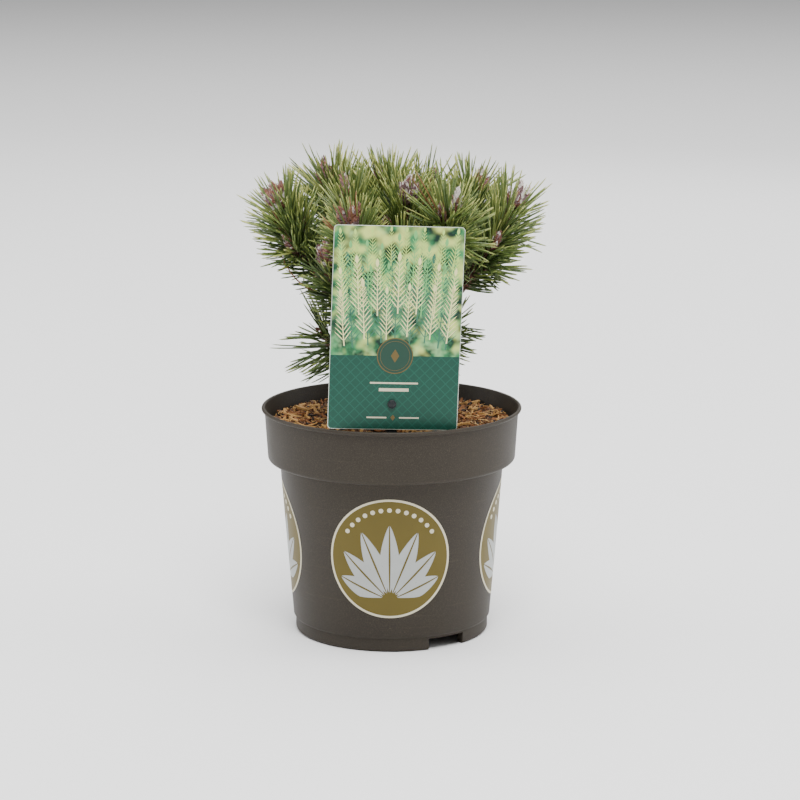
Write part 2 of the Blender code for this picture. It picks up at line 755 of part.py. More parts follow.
def sprays_on(path, radius, start, rng, space, sparse):
    """Sprays set round a shoot by the golden angle, each kept only where there is room.

    They stand on the shoot from a starting share of the way up to the foot of its bud.
    """
    total = sum((b - a).length for a, b in zip(path, path[1:]))
    count = int(total * (1 - start) / SPRAY_SPACING)
    end = 1 - BUD_LENGTH / total
    phase = rng.uniform(0.0, math.tau)
    for i in range(count):
        along_shoot = (i + rng.uniform(0.2, 0.8)) / count
        share = start + (end - start) * along_shoot
        index = share * (len(path) - 1)
        low = min(int(index), len(path) - 2)
        middle = path[low].lerp(path[low + 1], index - low)
        along = (path[low + 1] - path[low]).normalized()
        phase += GOLDEN_ANGLE
        out = along.orthogonal().normalized()
        out.rotate(Matrix.Rotation(phase, 3, along))
        spread = SPRAY_SPREAD + (TIP_SPREAD - SPRAY_SPREAD) * along_shoot
        spread += rng.uniform(-SPREAD_LOOSENESS, SPREAD_LOOSENESS)
        heading = along * math.cos(spread) + out * math.sin(spread)
        across = heading.orthogonal().normalized()
        across.rotate(Matrix.Rotation(rng.uniform(0.0, math.pi), 3, heading))
        full = NEEDLE_LENGTH + (TIP_NEEDLE_LENGTH - NEEDLE_LENGTH) * along_shoot
        full = (LOW_NEEDLE_LENGTH if sparse else full) * rng.uniform(*LENGTH_SHARES)
        root = middle + out * radius * SPRAY_ROOT_DEPTH
        for shorter in SHORTER:
            outline = spray_points(root, heading, across, full * shorter)
            tests = [root.lerp(outline[k], s) for k in (1, 3, 5) for s in (0.35, 0.7, 1.0)]
            if all(space.holds(p) for p in tests):
                yield spray_mesh(outline, heading.cross(across))
                break


def shoot_tube(path, radius, sides):
    """A shoot that ends in its winter bud: narrow neck, full middle and a point."""
    tip = path[-1]
    along = (path[-1] - path[-2]).normalized()
    points = [p for p in path if (tip - p).length > BUD_LENGTH + radius]
    radii = [radius * (1 - SHOOT_TAPER * i / (len(path) - 1)) for i in range(len(points))]
    for back, swell in BUD_PROFILE:
        points.append(tip - along * BUD_LENGTH * back)
        radii.append(BUD_RADIUS * swell)
    return tube(points, radii, sides)


def side_buds(path, rng, count):
    """Small buds that stand round the foot of the end bud."""
    tip = path[-1]
    along = (path[-1] - path[-2]).normalized()
    foot = tip - along * BUD_LENGTH
    phase = rng.uniform(0.0, math.tau)
    for i in range(count):
        out = along.orthogonal().normalized()
        out.rotate(Matrix.Rotation(phase + math.tau * i / count, 3, along))
        lean = (along + out * SIDE_BUD_LEAN).normalized()
        points = [foot + lean * SIDE_BUD_LENGTH * s for s in (0.0, 0.5, 1.0)]
        yield tube(points, [SIDE_BUD_RADIUS, SIDE_BUD_RADIUS, 0.0], 4)


def join_mass(name, stem, parts, mat):
    """Join a stem with its side shoots, buds and sprays by one union on a collection."""
    group = bpy.data.collections.new(name + "_parts")
    bpy.context.scene.collection.children.link(group)
    for i, bm in enumerate(parts):
        piece = add_object(name + "_part_" + str(i), bm)
        bpy.context.scene.collection.objects.unlink(piece)
        group.objects.link(piece)
    mod = stem.modifiers.new("Join", "BOOLEAN")
    mod.operation = "UNION"
    mod.operand_type = "COLLECTION"
    mod.collection = group
    mod.solver = "MANIFOLD"
    apply_modifiers(stem)
    for piece in list(group.objects):
        bpy.data.objects.remove(piece, do_unlink=True)
    bpy.data.collections.remove(group)
    keep_main_body(stem.data)
    stem.data.materials.clear()
    stem.data.materials.append(mat)
    return stem


def keep_main_body(mesh):
    """Drop loose scraps and the walls of sealed hollows, so that one body is left."""
    bm = bmesh.new()
    bm.from_mesh(mesh)
    left = set(bm.faces)
    bodies = []
    while left:
        queue = [left.pop()]
        body = list(queue)
        while queue:
            face = queue.pop()
            for edge in face.edges:
                for other in edge.link_faces:
                    if other in left:
                        left.remove(other)
                        queue.append(other)
                        body.append(other)
        bodies.append(body)
    bodies.sort(key=lambda faces: sum(f.calc_area() for f in faces))
    for body in bodies[:-1]:
        bmesh.ops.delete(bm, geom=body, context="FACES")
    bmesh.ops.triangulate(bm, faces=bm.faces)
    bm.to_mesh(mesh)
    bm.free()


def build_mass(name, order, shoots, limbs, cutter, mat):
    """One mass: its leader, side shoots, buds and sprays fused into a single body."""
    rng = random.Random(100 + order)
    space = Space(name, shoots, limbs)
    leader, *branches = shoots[name]
    sparse = "sprig" in name
    parts = []
    for branch in branches:
        parts.append(shoot_tube(branch, SIDE_SHOOT_RADIUS, 5))
        parts += sprays_on(branch, SIDE_SHOOT_RADIUS, SIDE_SPRAY_START, rng, space, sparse)
    if not sparse:
        parts += side_buds(leader, rng, SIDE_BUDS)
    start = LOW_SPRAY_START if sparse else SPRAY_START
    parts += sprays_on(leader, SHOOT_RADIUS, start, rng, space, sparse)
    stem = add_object(name, shoot_tube(leader, SHOOT_RADIUS, 6))
    if sparse:
        add_boolean(stem, cutter, "DIFFERENCE")
        apply_modifiers(stem)
    return join_mass(name, stem, parts, mat)


def main():
    """Build the potted pine."""
    clear_scene()
    mats = {name: make_material(name) for name in COLOURS}
    build_pot(mats["pot"])
    build_mulch(mats["mulch"])
    build_card(mats["card"])
    build_stake(mats["stake"])
    add_object("trunk", trunk_tube(), mats["bark"], smooth_angle=50)
    cutter = as_cutter(add_object("trunk_clearance", trunk_tube(GAP)))
    heights = [trunk_cut(), (trunk_cut() + TRUNK_TIP.z) / 2, TRUNK_TIP.z]
    limbs = [([trunk_point(z) for z in heights], TRUNK_RADIUS)]
    for name, limb in BOUGHS.items():
        build_bough(name, limb, cutter, mats["bark"])
        limbs.append((limb_path(limb, 0.0, BOUGH_SHARE, BOUGH_STEPS), bough_radius(limb)))
    shoots = plan_shoots()
    for order, name in enumerate(shoots):
        build_mass(name, order, shoots, limbs, cutter, mats["needles"])


main()
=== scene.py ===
"""Dressed model of a potted mugo pine: pot, mulch, label, limbs, shoots, needles and buds.

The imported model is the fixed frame. Lengths are in metres and +Z is up. The origin is the
centre of the pot's underside, and the label faces -Y. The limbs and shoots follow the rule
of the model's source, which is written again here and carried on to finer twigs.
"""

import json
import logging
from collections.abc import Callable, Iterable, Iterator, Sequence
from dataclasses import dataclass, field
from enum import Enum
from functools import partial
from math import ceil, cos, exp, hypot, pi, radians, sin, sqrt, tan, tau
from random import Random
from typing import Any, ClassVar

import bmesh
import bpy
from mathutils import Matrix, Vector, kdtree, noise

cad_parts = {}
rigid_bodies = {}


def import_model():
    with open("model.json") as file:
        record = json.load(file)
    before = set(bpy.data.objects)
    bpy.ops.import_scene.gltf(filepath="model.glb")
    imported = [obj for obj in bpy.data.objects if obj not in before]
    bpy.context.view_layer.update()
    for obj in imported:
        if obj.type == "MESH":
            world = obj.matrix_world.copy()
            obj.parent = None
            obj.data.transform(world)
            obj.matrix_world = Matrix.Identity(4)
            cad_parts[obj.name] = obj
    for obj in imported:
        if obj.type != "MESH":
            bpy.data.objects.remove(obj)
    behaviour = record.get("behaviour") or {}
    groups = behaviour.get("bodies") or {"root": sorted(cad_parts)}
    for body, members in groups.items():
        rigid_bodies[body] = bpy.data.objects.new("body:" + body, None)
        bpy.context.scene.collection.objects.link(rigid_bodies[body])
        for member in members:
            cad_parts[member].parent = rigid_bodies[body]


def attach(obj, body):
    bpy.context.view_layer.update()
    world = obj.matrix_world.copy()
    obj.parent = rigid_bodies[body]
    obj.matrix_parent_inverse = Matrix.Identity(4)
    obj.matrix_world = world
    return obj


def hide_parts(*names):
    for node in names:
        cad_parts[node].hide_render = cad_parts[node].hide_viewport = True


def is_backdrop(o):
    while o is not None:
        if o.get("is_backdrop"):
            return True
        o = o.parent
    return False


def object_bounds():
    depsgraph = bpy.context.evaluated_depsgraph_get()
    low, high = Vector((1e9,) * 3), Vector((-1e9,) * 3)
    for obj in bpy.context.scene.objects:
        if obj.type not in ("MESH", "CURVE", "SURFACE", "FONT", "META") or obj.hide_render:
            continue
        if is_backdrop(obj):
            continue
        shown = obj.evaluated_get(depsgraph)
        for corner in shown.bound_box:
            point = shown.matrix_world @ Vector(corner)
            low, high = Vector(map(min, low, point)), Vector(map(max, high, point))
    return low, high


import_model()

CAD_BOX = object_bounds()
LOG = logging.getLogger("potted_pine")
BODY = "root"
GOLDEN_ANGLE = pi * (3 - sqrt(5))
UP = Vector((0.0, 0.0, 1.0))

Pair = tuple[float, float]
Triple = tuple[float, float, float]
Dye = tuple[str, str, float]
Bm = bmesh.types.BMesh
Obj = bpy.types.Object
Mesh = bpy.types.Mesh
Path = Sequence[Vector]
Relief = Callable[[Vector, float], float]


# Nodes and materials


def linear(code: str) -> Triple:
    """The linear red, green and blue of a hexadecimal display colour."""
    parts = [int(code[i:i + 2], 16) / 255 for i in (0, 2, 4)]
    return tuple(p / 12.92 if p < 0.04045 else ((p + 0.055) / 1.055) ** 2.4 for p in parts)


def math_node(operation: str, swapped: bool = False) -> Callable[..., "Term"]:
    """Make a method of Term that adds a Math node.

    Args:
        operation: The node's operation.
        swapped: Whether the term stands behind a number.

    Returns:
        The method.
    """
    def method(term: "Term", *others: "Term | float") -> "Term":
        """Add the node and return its output."""
        feeds = dict(enumerate((*others, term) if swapped else (term, *others)))
        return term.sheet.add("ShaderNodeMath", {"operation": operation}, feeds)

    return method


class Term:
    """A node's output that takes part in Python arithmetic, which adds Math nodes.

    Beside the signs, part() is what a value has over its whole number, over() is one where it
    is greater than another and zero elsewhere, and at_least() is the larger of two.
    """

    __add__ = math_node("ADD")
    __radd__ = math_node("ADD", swapped=True)
    __sub__ = math_node("SUBTRACT")
    __mul__ = math_node("MULTIPLY")
    __truediv__ = math_node("DIVIDE")
    __abs__ = math_node("ABSOLUTE")
    part = math_node("FRACT")
    over = math_node("GREATER_THAN")
    at_least = math_node("MAXIMUM")

    def __init__(self, sheet: "Sheet", socket: bpy.types.NodeSocket) -> None:
        """Wrap a socket of a sheet's tree."""
        self.sheet = sheet
        self.socket = socket

    def out(self, name: str) -> "Term":
        """Another output of the same node, by its name."""
        return Term(self.sheet, self.socket.node.outputs[name])

    def rise(self, low: float, high: float) -> "Term":
        """A soft step from zero at one value to one at another."""
        settings = {"interpolation_type": "SMOOTHSTEP"}
        feeds = {"Value": self, "From Min": low, "From Max": high}
        return self.sheet.add("ShaderNodeMapRange", settings, feeds)


class Sheet:
    """Adds nodes to a tree: a node gets its settings first, and then its inputs."""

    def __init__(self, tree: bpy.types.NodeTree) -> None:
        """Work on a node tree."""
        self.tree = tree

    def add(
        self,
        kind: str,
        settings: dict[str, Any] | None = None,
        feeds: dict[Any, Any] | None = None,
        output: int | str = 0,
    ) -> Term | None:
        """Add a node.

        Args:
            kind: The node's type.
            settings: Its properties.
            feeds: Values or terms by the name or number of an input.
            output: The output that is wanted.

        Returns:
            The output, or None where the node has none.
        """
        node = self.tree.nodes.new(kind)
        for key, value in (settings or {}).items():
            setattr(node, key, value)
        for key, value in (feeds or {}).items():
            self.feed(node.inputs[key], value)
        return Term(self, node.outputs[output]) if len(node.outputs) else None

    def feed(self, socket: bpy.types.NodeSocket, value: Any) -> None:
        """Link a term to a socket, or set the socket's own value."""
        if isinstance(value, Term):
            self.tree.links.new(value.socket, socket)
        elif socket.type == "RGBA":
            socket.default_value = (*value, 1.0)
        else:
            socket.default_value = value

    def mix(self, factor: Term, first: Term | str, second: Term | str) -> Term:
        """A mix of two colours, each a term or a display colour, by the share of the second."""
        ends = [linear(end) if isinstance(end, str) else end for end in (first, second)]
        feeds = {0: factor, 6: ends[0], 7: ends[1]}
        return self.add("ShaderNodeMix", {"data_type": "RGBA"}, feeds, 2)

    def place(self, scale: Triple = (1.0, 1.0, 1.0)) -> Term:
        """Object coordinates, stretched by a scale."""
        coords = self.add("ShaderNodeTexCoord", output="Object")
        return self.add("ShaderNodeMapping", None, {"Vector": coords, "Scale": scale})

    def cloud(self, scale: float, detail: float = 4.0, where: Term | None = None) -> Term:
        """Noise from zero to one.

        Args:
            scale: Lumps in a metre, or in a unit of the given coordinates.
            detail: How many finer layers it has.
            where: Coordinates other than the object's own.

        Returns:
            The noise value.
        """
        feeds = {"Vector": where or self.place(), "Scale": scale, "Detail": detail}
        return self.add("ShaderNodeTexNoise", None, feeds, "Fac")


@dataclass(frozen=True)
class Finish:
    """A plain surface of one colour, for what is small and repeated."""

    name: str
    colour: str
    roughness: float = 0.5
    coat: float = 0.0
    specular: float = 0.5

    def material(self) -> bpy.types.Material:
        """Make the material once and return it."""
        made = bpy.data.materials.get(self.name)
        if made is not None:
            return made
        made = bpy.data.materials.new(self.name)
        made.use_nodes = True
        sheet = Sheet(made.node_tree)
        values = {
            "Base Color": linear(self.colour),
            "Roughness": self.roughness,
            "Coat Weight": self.coat,
            "Specular IOR Level": self.specular,
        }
        for key, value in (values | self.dress(sheet)).items():
            sheet.feed(made.node_tree.nodes["Principled BSDF"].inputs[key], value)
        return made

    def dress(self, sheet: Sheet) -> dict[str, Term]:
        """The shader's inputs that vary over the surface. A plain finish varies nothing."""
        return {}

    @staticmethod
    def bump(sheet: Sheet, height: Term, depth: float) -> Term:
        """The normal of a relief, whose height is in metres times a depth."""
        feeds = {"Height": height, "Strength": 1.0, "Distance": depth}
        return sheet.add("ShaderNodeBump", None, feeds)


@dataclass(frozen=True)
class MouldedPlastic(Finish):
    """Satin moulded plastic with soft mottling, hairline marks and a little dust."""

    specular: float = 0.16
    light: str = "38332c"
    dust: str = "807460"
    dust_share: float = 0.25
    relief: float = 0.00006
    mark_stretch: Triple = (1.0, 1.0, 14.0)

    def dress(self, sheet: Sheet) -> dict[str, Term]:
        """Mottle the colour, and let marks and dust roughen it."""
        mottle = sheet.cloud(16.0, 5.0).rise(0.36, 0.70)
        base = sheet.mix(mottle * 0.55, self.colour, self.light)
        grain = sheet.cloud(1500.0, 2.0)
        base = sheet.mix(grain.rise(0.42, 0.75) * 0.10, base, self.dust)
        marks = sheet.cloud(26.0, 6.0, sheet.place(self.mark_stretch)).rise(0.63, 0.72)
        specks = sheet.cloud(420.0, 3.0).rise(0.70, 0.76) * sheet.cloud(22.0).rise(0.46, 0.60)
        dust = (marks * 0.16 + specks * 0.7) * self.dust_share
        return {
            "Base Color": sheet.mix(dust, base, self.dust),
            "Roughness": self.roughness + mottle * 0.07 + dust * 0.4 + grain * 0.05,
            "Normal": self.bump(sheet, grain + marks * 0.6, self.relief),
        }


@dataclass(frozen=True)
class Bark(Finish):
    """Scaly bark: dark cracks, warm plates and grey edges."""

    plate: str = "7a4c34"
    edge: str = "9c8474"
    plates_per_metre: float = 340.0
    stretch: Triple = (1.0, 1.0, 0.55)
    relief: float = 0.0005

    def dress(self, sheet: Sheet) -> dict[str, Term]:
        """Colour plates and cracks and raise the plates."""
        feeds = {"Vector": sheet.place(self.stretch), "Scale": self.plates_per_metre}
        cell = sheet.add("ShaderNodeTexVoronoi", None, feeds, "Distance")
        worn = sheet.cloud(260.0, 6.0)
        plate = (cell * -1.0 + 0.9 + worn * 0.4).rise(0.35, 0.85)
        base = sheet.mix(plate, self.colour, self.plate)
        return {
            "Base Color": sheet.mix(worn.rise(0.52, 0.70) * 0.6, base, self.edge),
            "Normal": self.bump(sheet, plate + worn * 0.5, self.relief),
        }


@dataclass(frozen=True)
class Soil(Finish):
    """Damp crumbly fill between the bark chips."""

    crumb: str = "4a2f1c"
    crumbs_per_metre: float = 300.0
    relief: float = 0.0012

    def dress(self, sheet: Sheet) -> dict[str, Term]:
        """Mix crumbs of two browns and roughen them."""
        crumbs = sheet.cloud(self.crumbs_per_metre, 7.0)
        return {
            "Base Color": sheet.mix(crumbs.rise(0.40, 0.66), self.colour, self.crumb),
            "Normal": self.bump(sheet, crumbs, self.relief),
        }


@dataclass(frozen=True)
class Ink(Finish):
    """Printed ink on moulded plastic, slightly worn and uneven."""

    specular: float = 0.2
    worn: str = "4c4438"

    def dress(self, sheet: Sheet) -> dict[str, Term]:
        """Let a little of the plastic show through in specks."""
        specks = sheet.cloud(700.0, 3.0).rise(0.66, 0.74) * 0.35
        veil = sheet.cloud(60.0, 4.0).rise(0.35, 0.75) * 0.12
        return {
            "Base Color": sheet.mix(specks + veil, self.colour, self.worn),
            "Roughness": self.roughness + specks * 0.4,
        }


@dataclass(frozen=True)
class BlurredLeaves(Finish):
    """The label's soft background: out of focus greens, lighter towards one corner."""

    specular: float = 0.25
    middle: str = "3f8c58"
    light: str = "dbe87c"
    pale: str = "b2e29c"

    def dress(self, sheet: Sheet) -> dict[str, Term]:
        """Blend three greens in soft spots over the label's own coordinates."""
        uv = sheet.add("ShaderNodeTexCoord", output="UV")
        spots = sheet.cloud(5.0, 1.5, uv)
        fine = sheet.cloud(16.0, 3.0, uv)
        blend = (spots * 0.6 + fine * 0.4).rise(0.40, 0.60)
        base = sheet.mix(blend, self.colour, self.middle)
        high = sheet.add("ShaderNodeSeparateXYZ", None, {0: uv}, "Y").rise(0.55, 1.2)
        glow = (sheet.cloud(8.0, 1.0, uv) + high * 0.10).rise(0.49, 0.75)
        base = sheet.mix(glow * 0.85, base, self.light)
        haze = (sheet.cloud(11.0, 2.0, uv) - high * 0.12).rise(0.44, 0.72)
        return {"Base Color": sheet.mix(haze * 0.55, base, self.pale)}


@dataclass(frozen=True)
class Lattice(Finish):
    """The label's lower panel: a slanting lattice, tone on tone."""

    specular: float = 0.25
    line: str = "1f5848"
    pitch: float = 0.075
    width: float = 0.13

    def dress(self, sheet: Sheet) -> dict[str, Term]:
        """Draw two sets of slanting lines over the label's own coordinates."""
        uv = sheet.add("ShaderNodeTexCoord", output="UV")
        across = sheet.add("ShaderNodeSeparateXYZ", None, {0: uv})
        along = across.out("Y")
        sets = [abs((way / self.pitch).part() - 0.5).over(0.5 - self.width / 2)
                for way in (across + along, across - along)]
        mask = sets[0].at_least(sets[1]) * 0.65 + sheet.cloud(9.0, 3.0, uv) * 0.25
        return {"Base Color": sheet.mix(mask, self.colour, self.line)}


class Surface(Enum):
    """The finishes of the pot, the mulch, the label and the limbs."""

    POT = MouldedPlastic("moulded_pot", "322d27", 0.46)
    STAKE = MouldedPlastic("moulded_stake", "1e2326", 0.34, light="2c3235", dust_share=0.2)
    GOLD = Ink("gold_ink", "605423", 0.46, worn="4a4124")
    CREAM = Ink("cream_ink", "cfc8ae", 0.50, worn="8a836f")
    SILVER = Ink("silver_ink", "abaeac", 0.45, worn="7c7b74")
    SOIL = Soil("mulch_soil", "24160d", 0.95)
    SHEET = Finish("label_edge", "c9d2c6", 0.5)
    PICTURE = BlurredLeaves("label_picture", "0f2c22", 0.42)
    PANEL = Lattice("label_panel", "1b4639", 0.42)
    DISC_EDGE = Finish("disc_gold", "614f20", 0.50)
    DISC = Finish("disc_green", "0d3b2b", 0.60)
    BARK = Bark("trunk_bark", "38231a", 0.88)
    YOUNG_BARK = Bark("shoot_bark", "3f2219", 0.80, plate="7c4a33", plates_per_metre=620.0)


# Meshes


def add_object(name: str, mesh: Mesh) -> Obj:
    """Link a mesh to the scene as an object at the origin."""
    obj = bpy.data.objects.new(name, mesh)
    bpy.context.scene.collection.objects.link(obj)
    return obj


def mesh_of(name: str, bm: Bm) -> Mesh:
    """Turn a bmesh into a mesh and use it up."""
    mesh = bpy.data.meshes.new(name)
    bm.to_mesh(mesh)
    bm.free()
    return mesh


def shade(mesh: Mesh, smooth_angle: float) -> None:
    """Shade a mesh smooth, but for edges sharper than an angle in degrees."""
    mesh.shade_smooth()
    if smooth_angle < 180.0:
        mesh.set_sharp_from_angle(angle=radians(smooth_angle))


def piece_of(
    name: str, bm: Bm, finishes: Sequence[Finish | Surface], smooth_angle: float = 180.0
) -> Obj:
    """Turn a bmesh into an object.

    Args:
        name: The piece's name.
        bm: The mesh, which is used up.
        finishes: One for each material index.
        smooth_angle: Edges sharper than this many degrees stay sharp.

    Returns:
        The new object.
    """
    mesh = mesh_of(name, bm)
    for finish in finishes:
        plain = finish.value if isinstance(finish, Surface) else finish
        mesh.materials.append(plain.material())
    shade(mesh, smooth_angle)
    return add_object(name, mesh)


def settle(obj: Obj, nodes: Iterable[str] = ()) -> None:
    """Declare a finished piece to the frame and report it.

    Args:
        obj: The piece, with its place in its mesh.
        nodes: The model's nodes that it stands for.
    """
    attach(obj, BODY)
    names = list(nodes)
    if names:
        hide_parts(*names)
    obj.data.calc_loop_triangles()
    LOG.info("%-22s %7d triangles", obj.name, len(obj.data.loop_triangles))


def arc(centre: Pair, radius: float, start: float, end: float, steps: int) -> list[Pair]:
    """Points on an arc of a profile, between two angles in degrees."""
    angles = [radians(start + (end - start) * i / steps) for i in range(steps + 1)]
    return [(centre[0] + radius * cos(a), centre[1] + radius * sin(a)) for a in angles]


def outwards(bm: Bm) -> Bm:
    """Point all faces outwards."""
    bmesh.ops.recalc_face_normals(bm, faces=bm.faces)
    return bm


def bridge(bm: Bm, low: Sequence[Any], high: Sequence[Any]) -> list[bmesh.types.BMFace]:
    """Join a ring of corners to the next ring, or to a single point, and return the faces."""
    faces = []
    for k in range(len(low)):
        n = (k + 1) % len(low)
        ends = (high[0],) if len(high) == 1 else (high[n], high[k])
        faces.append(bm.faces.new((low[k], low[n], *ends)))
    return faces


def turned(profile: Sequence[Pair], segments: int) -> Bm:
    """Turn a profile of radius and height round the Z axis into a closed mesh."""
    bm = bmesh.new()
    verts = [bm.verts.new((r, 0.0, z)) for r, z in profile]
    edges = [bm.edges.new(pair) for pair in zip(verts, verts[1:])]
    bmesh.ops.spin(bm, geom=verts + edges, cent=(0, 0, 0), axis=(0, 0, 1), angle=tau,
                   steps=segments, use_merge=True)
    bmesh.ops.remove_doubles(bm, verts=bm.verts, dist=1e-6)
    return outwards(bm)


def plug(bm: Bm, place: Matrix, radius: float, depth: float, segments: int) -> None:
    """Add a round plug at a place, to cut a hole with."""
    bmesh.ops.create_cone(bm, cap_ends=True, segments=segments, radius1=radius, radius2=radius,
                          depth=depth, matrix=place)


def cut_out(obj: Obj, tool: Obj) -> None:
    """Cut a tool out of an object and remove the tool."""
    mod = obj.modifiers.new("Cut", "BOOLEAN")
    mod.object = tool
    mod.operation = "DIFFERENCE"
    mod.solver = "EXACT"
    obj.data = evaluated(obj)
    obj.modifiers.clear()
    bpy.data.objects.remove(tool, do_unlink=True)


def evaluated(obj: Obj) -> Mesh:
    """The mesh that an object's modifiers make."""
    graph = bpy.context.evaluated_depsgraph_get()
    graph.update()
    return bpy.data.meshes.new_from_object(obj.evaluated_get(graph))


def sweep(
    bm: Bm, path: Path, radii: Sequence[float], sides: int, relief: Relief | None = None
) -> None:
    """Add a closed tube round a path.

    Args:
        bm: The mesh that it is added to.
        path: Its middle line.
        radii: One radius for each point, where zero ends it in a point.
        sides: Faces round it.
        relief: How far the skin stands out at a point and an angle.
    """
    ends = [path[0], *path, path[-1]]
    tangents = [(ahead - behind).normalized() for behind, ahead in zip(ends, ends[2:])]
    normal = tangents[0].orthogonal().normalized()
    rings = []
    for point, radius, tangent in zip(path, radii, tangents):
        normal = (normal - tangent * normal.dot(tangent)).normalized()
        side = tangent.cross(normal)
        if radius <= 0.0:
            rings.append([bm.verts.new(point)])
            continue
        ring = []
        for k in range(sides):
            angle = tau * k / sides
            offset = normal * cos(angle) + side * sin(angle)
            reach = radius
            if relief is not None:
                reach += relief(point + offset * radius, angle)
            ring.append(bm.verts.new(point + offset * reach))
        rings.append(ring)
    for low, high in zip(rings, rings[1:]):
        bridge(bm, low, high)
    bm.faces.new(list(reversed(rings[0])))
    if len(rings[-1]) > 1:
        bm.faces.new(rings[-1])


def resample(path: Path, step: float) -> list[Vector]:
    """Points at an even spacing along a smooth curve through a path."""
    ends = [path[0] * 2 - path[1], *path, path[-1] * 2 - path[-2]]
    points = []
    for a, b, c, d in zip(ends, ends[1:], ends[2:], ends[3:]):
        count = max(1, ceil((c - b).length / step))
        for i in range(count):
            t = i / count
            points.append(0.5 * (2 * b + (c - a) * t + (2 * a - 5 * b + 4 * c - d) * t ** 2
                                 + (3 * b - a - 3 * c + d) * t ** 3))
    return points + [path[-1].copy()]


def spread(points: Path, step: float = 0.0025) -> list[Vector]:
    """Points spread evenly along a path, for measuring distances to it."""
    skin = []
    for a, b in zip(points, points[1:]):
        count = max(1, ceil((b - a).length / step))
        skin += [a.lerp(b, i / count) for i in range(count)]
    return skin + [points[-1]]


def tree_of(points: Path) -> kdtree.KDTree:
    """A search tree over points."""
    tree = kdtree.KDTree(len(points))
    for i, point in enumerate(points):
        tree.insert(point, i)
    tree.balance()
    return tree


def sideways(along: Vector, angle: float) -> Vector:
    """The direction square to another one, at an angle round it."""
    out = along.orthogonal().normalized()
    out.rotate(Matrix.Rotation(angle, 3, along))
    return out


def turn_to(heading: Vector, back: Vector, roll: float = 0.0) -> Matrix:
    """The turn that points +Z along a heading and +Y towards a back, rolled by an angle."""
    normal = (back - heading * back.dot(heading)).normalized()
    normal.rotate(Matrix.Rotation(roll, 3, heading))
    return Matrix((normal.cross(heading), normal, heading)).transposed()


# Copies of small shapes


@dataclass
class Copy:
    """One copy of a source shape: where it stands, how it is turned, its size and kind."""

    place: Vector
    turn: Matrix
    size: Vector
    kind: int = 0


class Shapes:
    """A collection of source shapes, which is removed when its copies are made."""

    def __init__(self, name: str, shapes: Iterable[Bm], smooth: bool = True) -> None:
        """Take the shapes, in the order of their kinds, into a collection off the scene."""
        self.group = bpy.data.collections.new(name)
        for i, bm in enumerate(shapes):
            mesh = mesh_of(name, outwards(bm))
            if smooth:
                mesh.shade_smooth()
            self.group.objects.link(bpy.data.objects.new(f"{name}_{i:02d}", mesh))

    def clear(self) -> None:
        """Remove the shapes and their collection."""
        for obj in list(self.group.objects):
            bpy.data.objects.remove(obj, do_unlink=True)
        bpy.data.collections.remove(self.group)


class CopyNodes:
    """Geometry Nodes that set copies of source shapes, turned, sized and given a material."""

    title: ClassVar[str]
    inputs: ClassVar[dict[str, str]]

    def __init__(self) -> None:
        """Build the tree from its named inputs to the realized copies."""
        self.tree = bpy.data.node_groups.new(self.title, "GeometryNodeTree")
        face = self.tree.interface
        face.new_socket("Geometry", in_out="INPUT", socket_type="NodeSocketGeometry")
        kinds = {"Sources": "Collection", "Material": "Material", **self.inputs}
        self.sockets = {key: face.new_socket(key, socket_type="NodeSocket" + kind).identifier
                        for key, kind in kinds.items()}
        face.new_socket("Geometry", in_out="OUTPUT", socket_type="NodeSocketGeometry")
        sheet = Sheet(self.tree)
        given = sheet.add("NodeGroupInput")
        taken = {"Collection": given.out("Sources"), "Separate Children": True,
                 "Reset Children": True}
        feeds = {"Instance": sheet.add("GeometryNodeCollectionInfo", None, taken),
                 "Pick Instance": True, **self.placed(sheet, given)}
        copies = sheet.add("GeometryNodeInstanceOnPoints", None, feeds)
        real = sheet.add("GeometryNodeRealizeInstances", None, {"Geometry": copies})
        feeds = {"Geometry": real, "Material": given.out("Material")}
        whole = sheet.add("GeometryNodeSetMaterial", None, feeds)
        sheet.add("NodeGroupOutput", None, {0: self.tipped(sheet, given, whole)})

    def placed(self, sheet: Sheet, given: Term) -> dict[str, Term]:
        """The points, turns and sizes of the copies."""
        raise NotImplementedError

    def tipped(self, sheet: Sheet, given: Term, whole: Term) -> Term:
        """The copies with their tips. Most shapes have none."""
        return whole

    def apply(self, name: str, mesh: Mesh, shapes: Shapes, **values: Any) -> Obj:
        """Run the tree on a mesh.

        Args:
            name: The new piece's name.
            mesh: The points or the surface that carries the copies.
            shapes: The shapes that are copied.
            values: The tree's other inputs, with an underscore for a space in a name.

        Returns:
            The piece, as a plain mesh.
        """
        carrier = add_object(name + "_carrier", mesh)
        mod = carrier.modifiers.new("Copies", "NODES")
        mod.node_group = self.tree
        mod[self.sockets["Sources"]] = shapes.group
        for key, value in values.items():
            socket = self.sockets[key.replace("_", " ").title()]
            mod[socket] = value.material() if isinstance(value, Finish) else value
        made = evaluated(carrier)
        made.name = name
        for extra in ("turn", "size", "kind", "tip"):
            if extra in made.attributes:
                made.attributes.remove(made.attributes[extra])
        bpy.data.objects.remove(carrier, do_unlink=True)
        return add_object(name, made)


